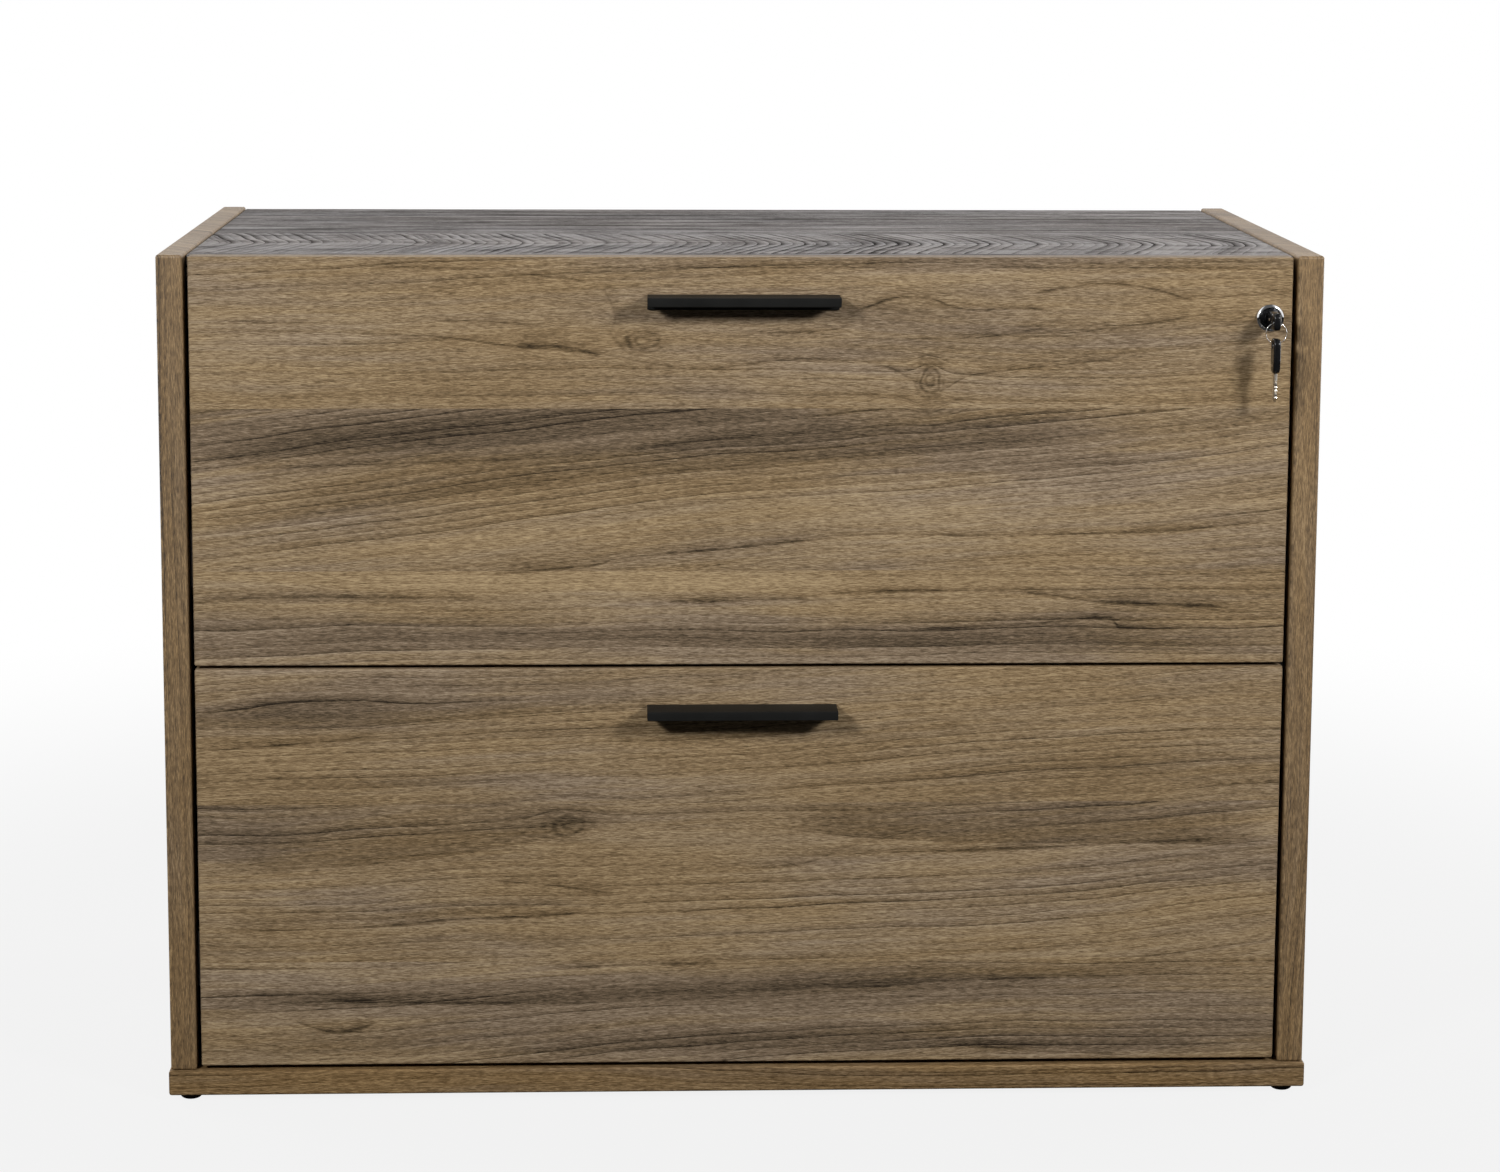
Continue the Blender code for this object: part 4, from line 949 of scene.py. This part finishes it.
def make_handles(finish):
    """Ledge pulls: a block with softened edges and a flange behind, hollowed from below."""
    for prefix in ("top", "bottom"):
        low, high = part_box(f"{prefix}_handle")
        front, back, top = low.y, high.y, high.z
        lip = top - HANDLE_LIP
        section = [
            (back, top),
            (back, low.z),
            (back - HANDLE_FLANGE, low.z),
            (back - HANDLE_FLANGE, lip),
            (front, lip),
            (front, top),
        ]
        block = plate([rounded(section, HANDLE_CORNER)], high.x - low.x, HANDLE_END_BEVEL)
        turn = axes((0, 1, 0), (0, 0, 1), ((low.x + high.x) / 2, 0, 0))
        bmesh.ops.transform(block, matrix=turn, verts=block.verts)
        left, right = low.x + HANDLE_WALL, high.x - HANDLE_WALL
        near, far = front + HANDLE_WALL, back - HANDLE_WALL
        mouth = rounded([(left, near), (right, near), (right, far), (left, far)], TROUGH_CORNER)
        trough = plate([mouth], 2 * (HANDLE_LIP - HANDLE_WALL), HANDLE_END_BEVEL)
        bmesh.ops.translate(trough, vec=(0, 0, lip), verts=trough.verts)
        bm = carved(block, trough)
        own = Matrix.Identity(4)
        piece(f"{prefix}_pull", bm, own, finish, "black_metal", f"{prefix}_drawer", f"{prefix}_handle")


def make_glides(finish):
    """Moulded feet: a stem collar on a domed sole."""
    for corner in ("front_left", "front_right", "rear_left", "rear_right"):
        low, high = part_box(f"glide_{corner}")
        middle = (low + high) / 2
        radius, height = (high.x - low.x) / 2, high.z - low.z
        chamfer = GLIDE_CHAMFER * radius
        collar = [(0.0, height), (radius - chamfer, height), (radius, height - chamfer)]
        sole = quarter_arc((radius - GLIDE_EDGE, GLIDE_EDGE), GLIDE_EDGE, -GLIDE_EDGE, steps=8)
        bm = turned(collar + sole[::-1] + [(0.0, 0.0)], steps=48)
        place = Matrix.Translation((middle.x, middle.y, low.z))
        piece(f"foot_{corner}", bm, place, finish, "black_plastic", "case", f"glide_{corner}")


def make_lock_body(finish):
    """The lock's bright crowned flange with its barrel, bored for the plug."""
    low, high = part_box("lock_housing")
    plug_low, plug_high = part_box("lock_plug")
    flange, length = (high.x - low.x) / 2, high.y - low.y
    bore, barrel = (plug_high.x - plug_low.x) / 2 + LOCK_GAP, flange - LOCK_OVERHANG
    mouth = [(bore, LOCK_MOUTH_INNER), (bore + LOCK_MOUTH_WIDTH, LOCK_MOUTH_OUTER)]
    rise = LOCK_CROWN_RISE * LOCK_FLANGE
    crown = quarter_arc((flange - LOCK_CROWN, rise), LOCK_CROWN, -rise, steps=10)
    rear = [(flange, LOCK_FLANGE), (barrel, LOCK_FLANGE), (barrel, length), (bore, length)]
    place = facing((0, 1, 0), ((low.x + high.x) / 2, low.y, (low.z + high.z) / 2))
    bm = turned(mouth + crown + rear)
    piece("lock_body", bm, place, finish, "chrome", "top_drawer", "lock_housing")


def make_lock_core(finish):
    """The lock's darker plug, with a keyway round the blade."""
    low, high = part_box("lock_plug")
    blade_low, blade_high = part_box("key_blade")
    axis = sum(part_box("lock_housing"), Vector()) / 2
    wide, tall = ((blade_high[i] - blade_low[i]) / 2 + KEYWAY_GAP for i in (0, 2))
    keyway = rounded([(-wide, -tall), (wide, -tall), (wide, tall), (-wide, tall)], KEYWAY_CORNER, steps=2)
    rim = circle((high.x - low.x) / 2, steps=64)
    bm = plate([rim, keyway], high.y - low.y, PLUG_RIM)
    place = axes((1, 0, 0), (0, 0, 1), (axis.x, (low.y + high.y) / 2, axis.z))
    piece("lock_core", bm, place, finish, "chrome", "key", "lock_plug")


def make_key_head(name, along, across, plastic, bright):
    """A key's moulded head with its ring hole, and a rivet on each side."""
    low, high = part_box(f"{name}_head")
    size = high - low
    length, half, thickness = abs(size.dot(along)), abs(size.dot(across)) / 2, size.x
    neck = (low + high) / 2 - along * length / 2
    lower = [(0.0, -KEY_WAIST / 2), (KEY_SHOULDER, -half), (length, -half)]
    upper = [(x, -y) for x, y in reversed(lower)]
    hole = circle(KEY_HOLE / 2, (length - KEY_HOLE_INSET, 0.0), steps=32)
    bm = plate([rounded(lower + upper, KEY_CORNER, steps=8), hole], thickness, KEY_RIM, steps=4)
    place = axes(along, across, neck)
    piece(f"{name}_bow", bm, place, plastic, "black_plastic", name, f"{name}_head")

    for tag, side in (("left", -1), ("right", 1)):
        spot = neck + along * KEY_RIVET + Vector((side * thickness / 2, 0, 0))
        place = facing((side, 0, 0), spot)
        piece(f"{name}_rivet_{tag}", turned(RIVET_PROFILE, steps=24), place, bright, "chrome", name)


def make_key_blade(name, along, across, finish):
    """A key's flat blade with a slanted tip and a row of cuts."""
    low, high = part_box(f"{name}_blade")
    size = high - low
    long, wide, thin = abs(size.dot(along)), abs(size.dot(across)) / 2, size.x
    shank = BLADE_SHANK * long
    pitch = (long - wide - shank) / BLADE_CUTS
    edge = [(0.0, -wide), (long - wide / 2, -wide), (long, -wide / 3), (long - wide, wide)]
    for cut in reversed(range(BLADE_CUTS)):
        floor = wide - BLADE_CUT_DEPTH * (CUT_MEAN + CUT_CHANGE * math.cos(CUT_TURN * cut))
        start = shank + pitch * cut
        edge += [(start + share * pitch, floor) for share in CUT_FLAT]
        edge.append((start, wide))
    edge.append((0.0, wide))
    bm = plate([edge], thin, BLADE_RIM, steps=1)
    place = axes(-along, across, (low + high) / 2 + along * long / 2)
    piece(f"{name}_shank", bm, place, finish, "chrome", name, f"{name}_blade")


def make_ring(finish):
    """A split ring: two turns of wire side by side."""
    low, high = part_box("key_ring")
    wire = (high.y - low.y) / 4
    radius = (high.x - low.x) / 2 - wire
    points = []
    for i in range(RING_STEPS + 1):
        share = i / RING_STEPS
        turn = 2 * math.tau * share + RING_START
        rise = wire * (2 * share - 1) * RING_NEST
        points.append((radius * math.cos(turn), rise, radius * math.sin(turn)))
    place = Matrix.Translation((low + high) / 2)
    piece("split_ring", tube(points, wire), place, finish, "chrome", "key", "key_ring")


def make_screw(name, kind, direction, spot, finish, body):
    """Adds a screw of one kind, with its head turned to a direction."""
    head = cross_screw(*SCREW_SIZES[kind])
    piece(name, head, facing(direction, spot), finish, "zinc_steel", body)


def make_drawer_screws(prefix, finish):
    """Screws that hold a drawer's pull, its front and its lock catch."""
    body = f"{prefix}_drawer"
    low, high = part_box(f"{prefix}_handle")
    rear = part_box(f"{prefix}_drawer_front")[1].y
    level = (low.z + high.z - HANDLE_WALL) / 2
    for tag, x in (("left", low.x + PULL_SCREW_INSET), ("right", high.x - PULL_SCREW_INSET)):
        spot = (x, rear, level)
        make_screw(f"{prefix}_pull_screw_{tag}", "pull", (0, 1, 0), spot, finish, body)

    low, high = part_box(f"{prefix}_box_front")
    for tag, share in FRONT_SCREW_SHARES.items():
        spot = (low.x + (high.x - low.x) * share, high.y, (low.z + high.z) / 2)
        make_screw(f"{prefix}_front_screw_{tag}", "front", (0, 1, 0), spot, finish, body)

    low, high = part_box(f"{prefix}_lock_catch")
    spot = (low.x + CATCH_WALL, (low.y + high.y) / 2 + CATCH_SCREW_SETBACK, (low.z + high.z) / 2)
    make_screw(f"{prefix}_catch_screw", "catch", (1, 0, 0), spot, finish, body)


def make_guide_screws(finish):
    """Screws that hold the lock bar's guide to the side panel."""
    low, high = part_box("lock_bar_guide")
    for tag, y in (("front", low.y + GUIDE_SCREW_INSET), ("rear", high.y - GUIDE_SCREW_INSET)):
        spot = (low.x, y, (low.z + high.z) / 2)
        make_screw(f"guide_screw_{tag}", "guide", (-1, 0, 0), spot, finish, "case")


def dress(slots):
    """Puts the fine pieces in place of the plain solids, and adds the fasteners."""
    bright, plastic, zinc = slots["chrome"], slots["black_plastic"], slots["zinc_steel"]
    dark = plated_metal("dark_plate", srgb(62, 62, 64), srgb(82, 82, 84), roughness=0.22)
    satin = plated_metal("satin_nickel", srgb(198, 190, 178), srgb(220, 213, 202), roughness=0.38)
    make_handles(slots["black_metal"])
    make_glides(plastic)
    make_lock_body(bright)
    make_lock_core(dark)
    outward, upward = Vector((0, -1, 0)), Vector((0, 0, 1))
    for name, along, across in (("key", outward, upward), ("spare_key", upward, outward)):
        make_key_head(name, along, across, plastic, bright)
        make_key_blade(name, along, across, satin)
    make_ring(bright)
    for prefix in ("top", "bottom"):
        make_drawer_screws(prefix, zinc)
    make_guide_screws(zinc)


def soft_lamp(name, place, size, power, target):
    """A square area lamp that looks at a point."""
    lamp = bpy.data.lights.new(name, "AREA")
    lamp.shape = "SQUARE"
    lamp.size = size
    lamp.energy = power
    obj = added(name, lamp)
    obj.location = place
    look = target - obj.location
    obj.rotation_euler = look.to_track_quat("-Z", "Y").to_euler()


def background_rays(g):
    """1 for rays that show the background: camera and transmission rays."""
    path = g.node("LightPath", {}).node.outputs
    return g.math("MAXIMUM", path["Is Camera Ray"], path["Is Transmission Ray"])


def make_world():
    """White behind the unit, faint all round, and white walls that show in gloss."""
    world = bpy.data.worlds.new("studio")
    bpy.context.scene.world = world
    world.use_nodes = True
    g = Graph(world.node_tree)
    direction = g.split(g.node("TexCoord", {}, "Generated"))
    walls = g.step(g.math("ABSOLUTE", direction["X"]), *WALL_EDGE, *WALL_GLOSS)
    rear = g.step(direction["Y"], *BACKDROP_EDGE, *BACKDROP_GLOSS)
    gloss = g.times(g.node("LightPath", {}, "Is Glossy Ray"), g.math("MAXIMUM", walls, rear))
    seen = g.math("MAXIMUM", background_rays(g), gloss)
    light = g.tree.nodes["Background"].inputs
    g.feed(light["Color"], (1.0, 1.0, 1.0, 1.0))
    g.feed(light["Strength"], g.math("MAXIMUM", seen, AMBIENT))


def floor_material():
    """White to the camera, with a faint shadow near the unit, and dim to all other rays."""
    material = bpy.data.materials.new("studio_floor")
    material.use_nodes = True
    g = Graph(material.node_tree)
    g.tree.nodes.clear()
    rays = background_rays(g)
    lit = g.node("BsdfDiffuse", {"Color": g.step(rays, 0.0, 1.0, FLOOR_BOUNCE, FLOOR_SHOWN)})
    reach = g.node("VectorMath", {0: g.place()}, "Value", operation="LENGTH")
    share = g.times(rays, g.step(reach, *SHADOW_REACH, FLOOR_GLOW, 1.0))
    shown = g.node("MixShader", {0: share, 1: lit, 2: g.node("Emission", {})})
    output = g.tree.nodes.new("ShaderNodeOutputMaterial")
    g.feed(output.inputs["Surface"], shown)
    return material


def make_floor():
    """A wide floor under the unit."""
    bm = bmesh.new()
    bmesh.ops.create_grid(bm, x_segments=1, y_segments=1, size=FLOOR_HALF)
    mesh = bpy.data.meshes.new("floor")
    bm.to_mesh(mesh)
    bm.free()
    mesh.materials.append(floor_material())
    floor = added("floor", mesh)


def make_studio():
    """The white room, two lamps in front, one above the rear and a fill on each side."""
    make_world()
    make_floor()
    low, high = CAD_BOX
    middle = (low + high) / 2
    rise = math.tan(math.radians(KEY_ELEVATION))
    for name, lamp in (("left_key", LEFT_KEY), ("right_key", RIGHT_KEY)):
        azimuth = math.radians(lamp["azimuth"])
        away = Vector((math.sin(azimuth), -math.cos(azimuth), rise))
        soft_lamp(name, middle + away * KEY_DISTANCE, lamp["size"], lamp["power"], middle)
    rear = (middle.x, middle.y + REAR_SETBACK, REAR_HEIGHT)
    soft_lamp("rear_light", rear, REAR_SIZE, REAR_POWER, middle)
    for name, side in (("left_fill", -1), ("right_fill", 1)):
        place = middle + Vector((side * FILL_OUT, FILL_BACK, FILL_RISE))
        soft_lamp(name, place, FILL_SIZE, FILL_POWER, middle)


def make_camera():
    """The camera of the photograph."""
    camera = bpy.data.cameras.new("camera")
    camera.sensor_width = CAMERA_SENSOR
    camera.lens = CAMERA_LENS
    camera.shift_y = CAMERA_SHIFT_Y
    obj = added("camera", camera)
    turns = (90 + CAMERA_PITCH, CAMERA_ROLL, CAMERA_YAW)
    pitch, roll, yaw = (math.radians(angle) for angle in turns)
    turn = Matrix.Rotation(yaw, 4, "Z") @ Matrix.Rotation(pitch, 4, "X") @ Matrix.Rotation(roll, 4, "Z")
    obj.matrix_world = Matrix.Translation(CAMERA_PLACE) @ turn
    bpy.context.scene.camera = obj


slots = paint()
dress(slots)
make_studio()
make_camera()
bpy.context.scene.view_settings.view_transform = "Standard"
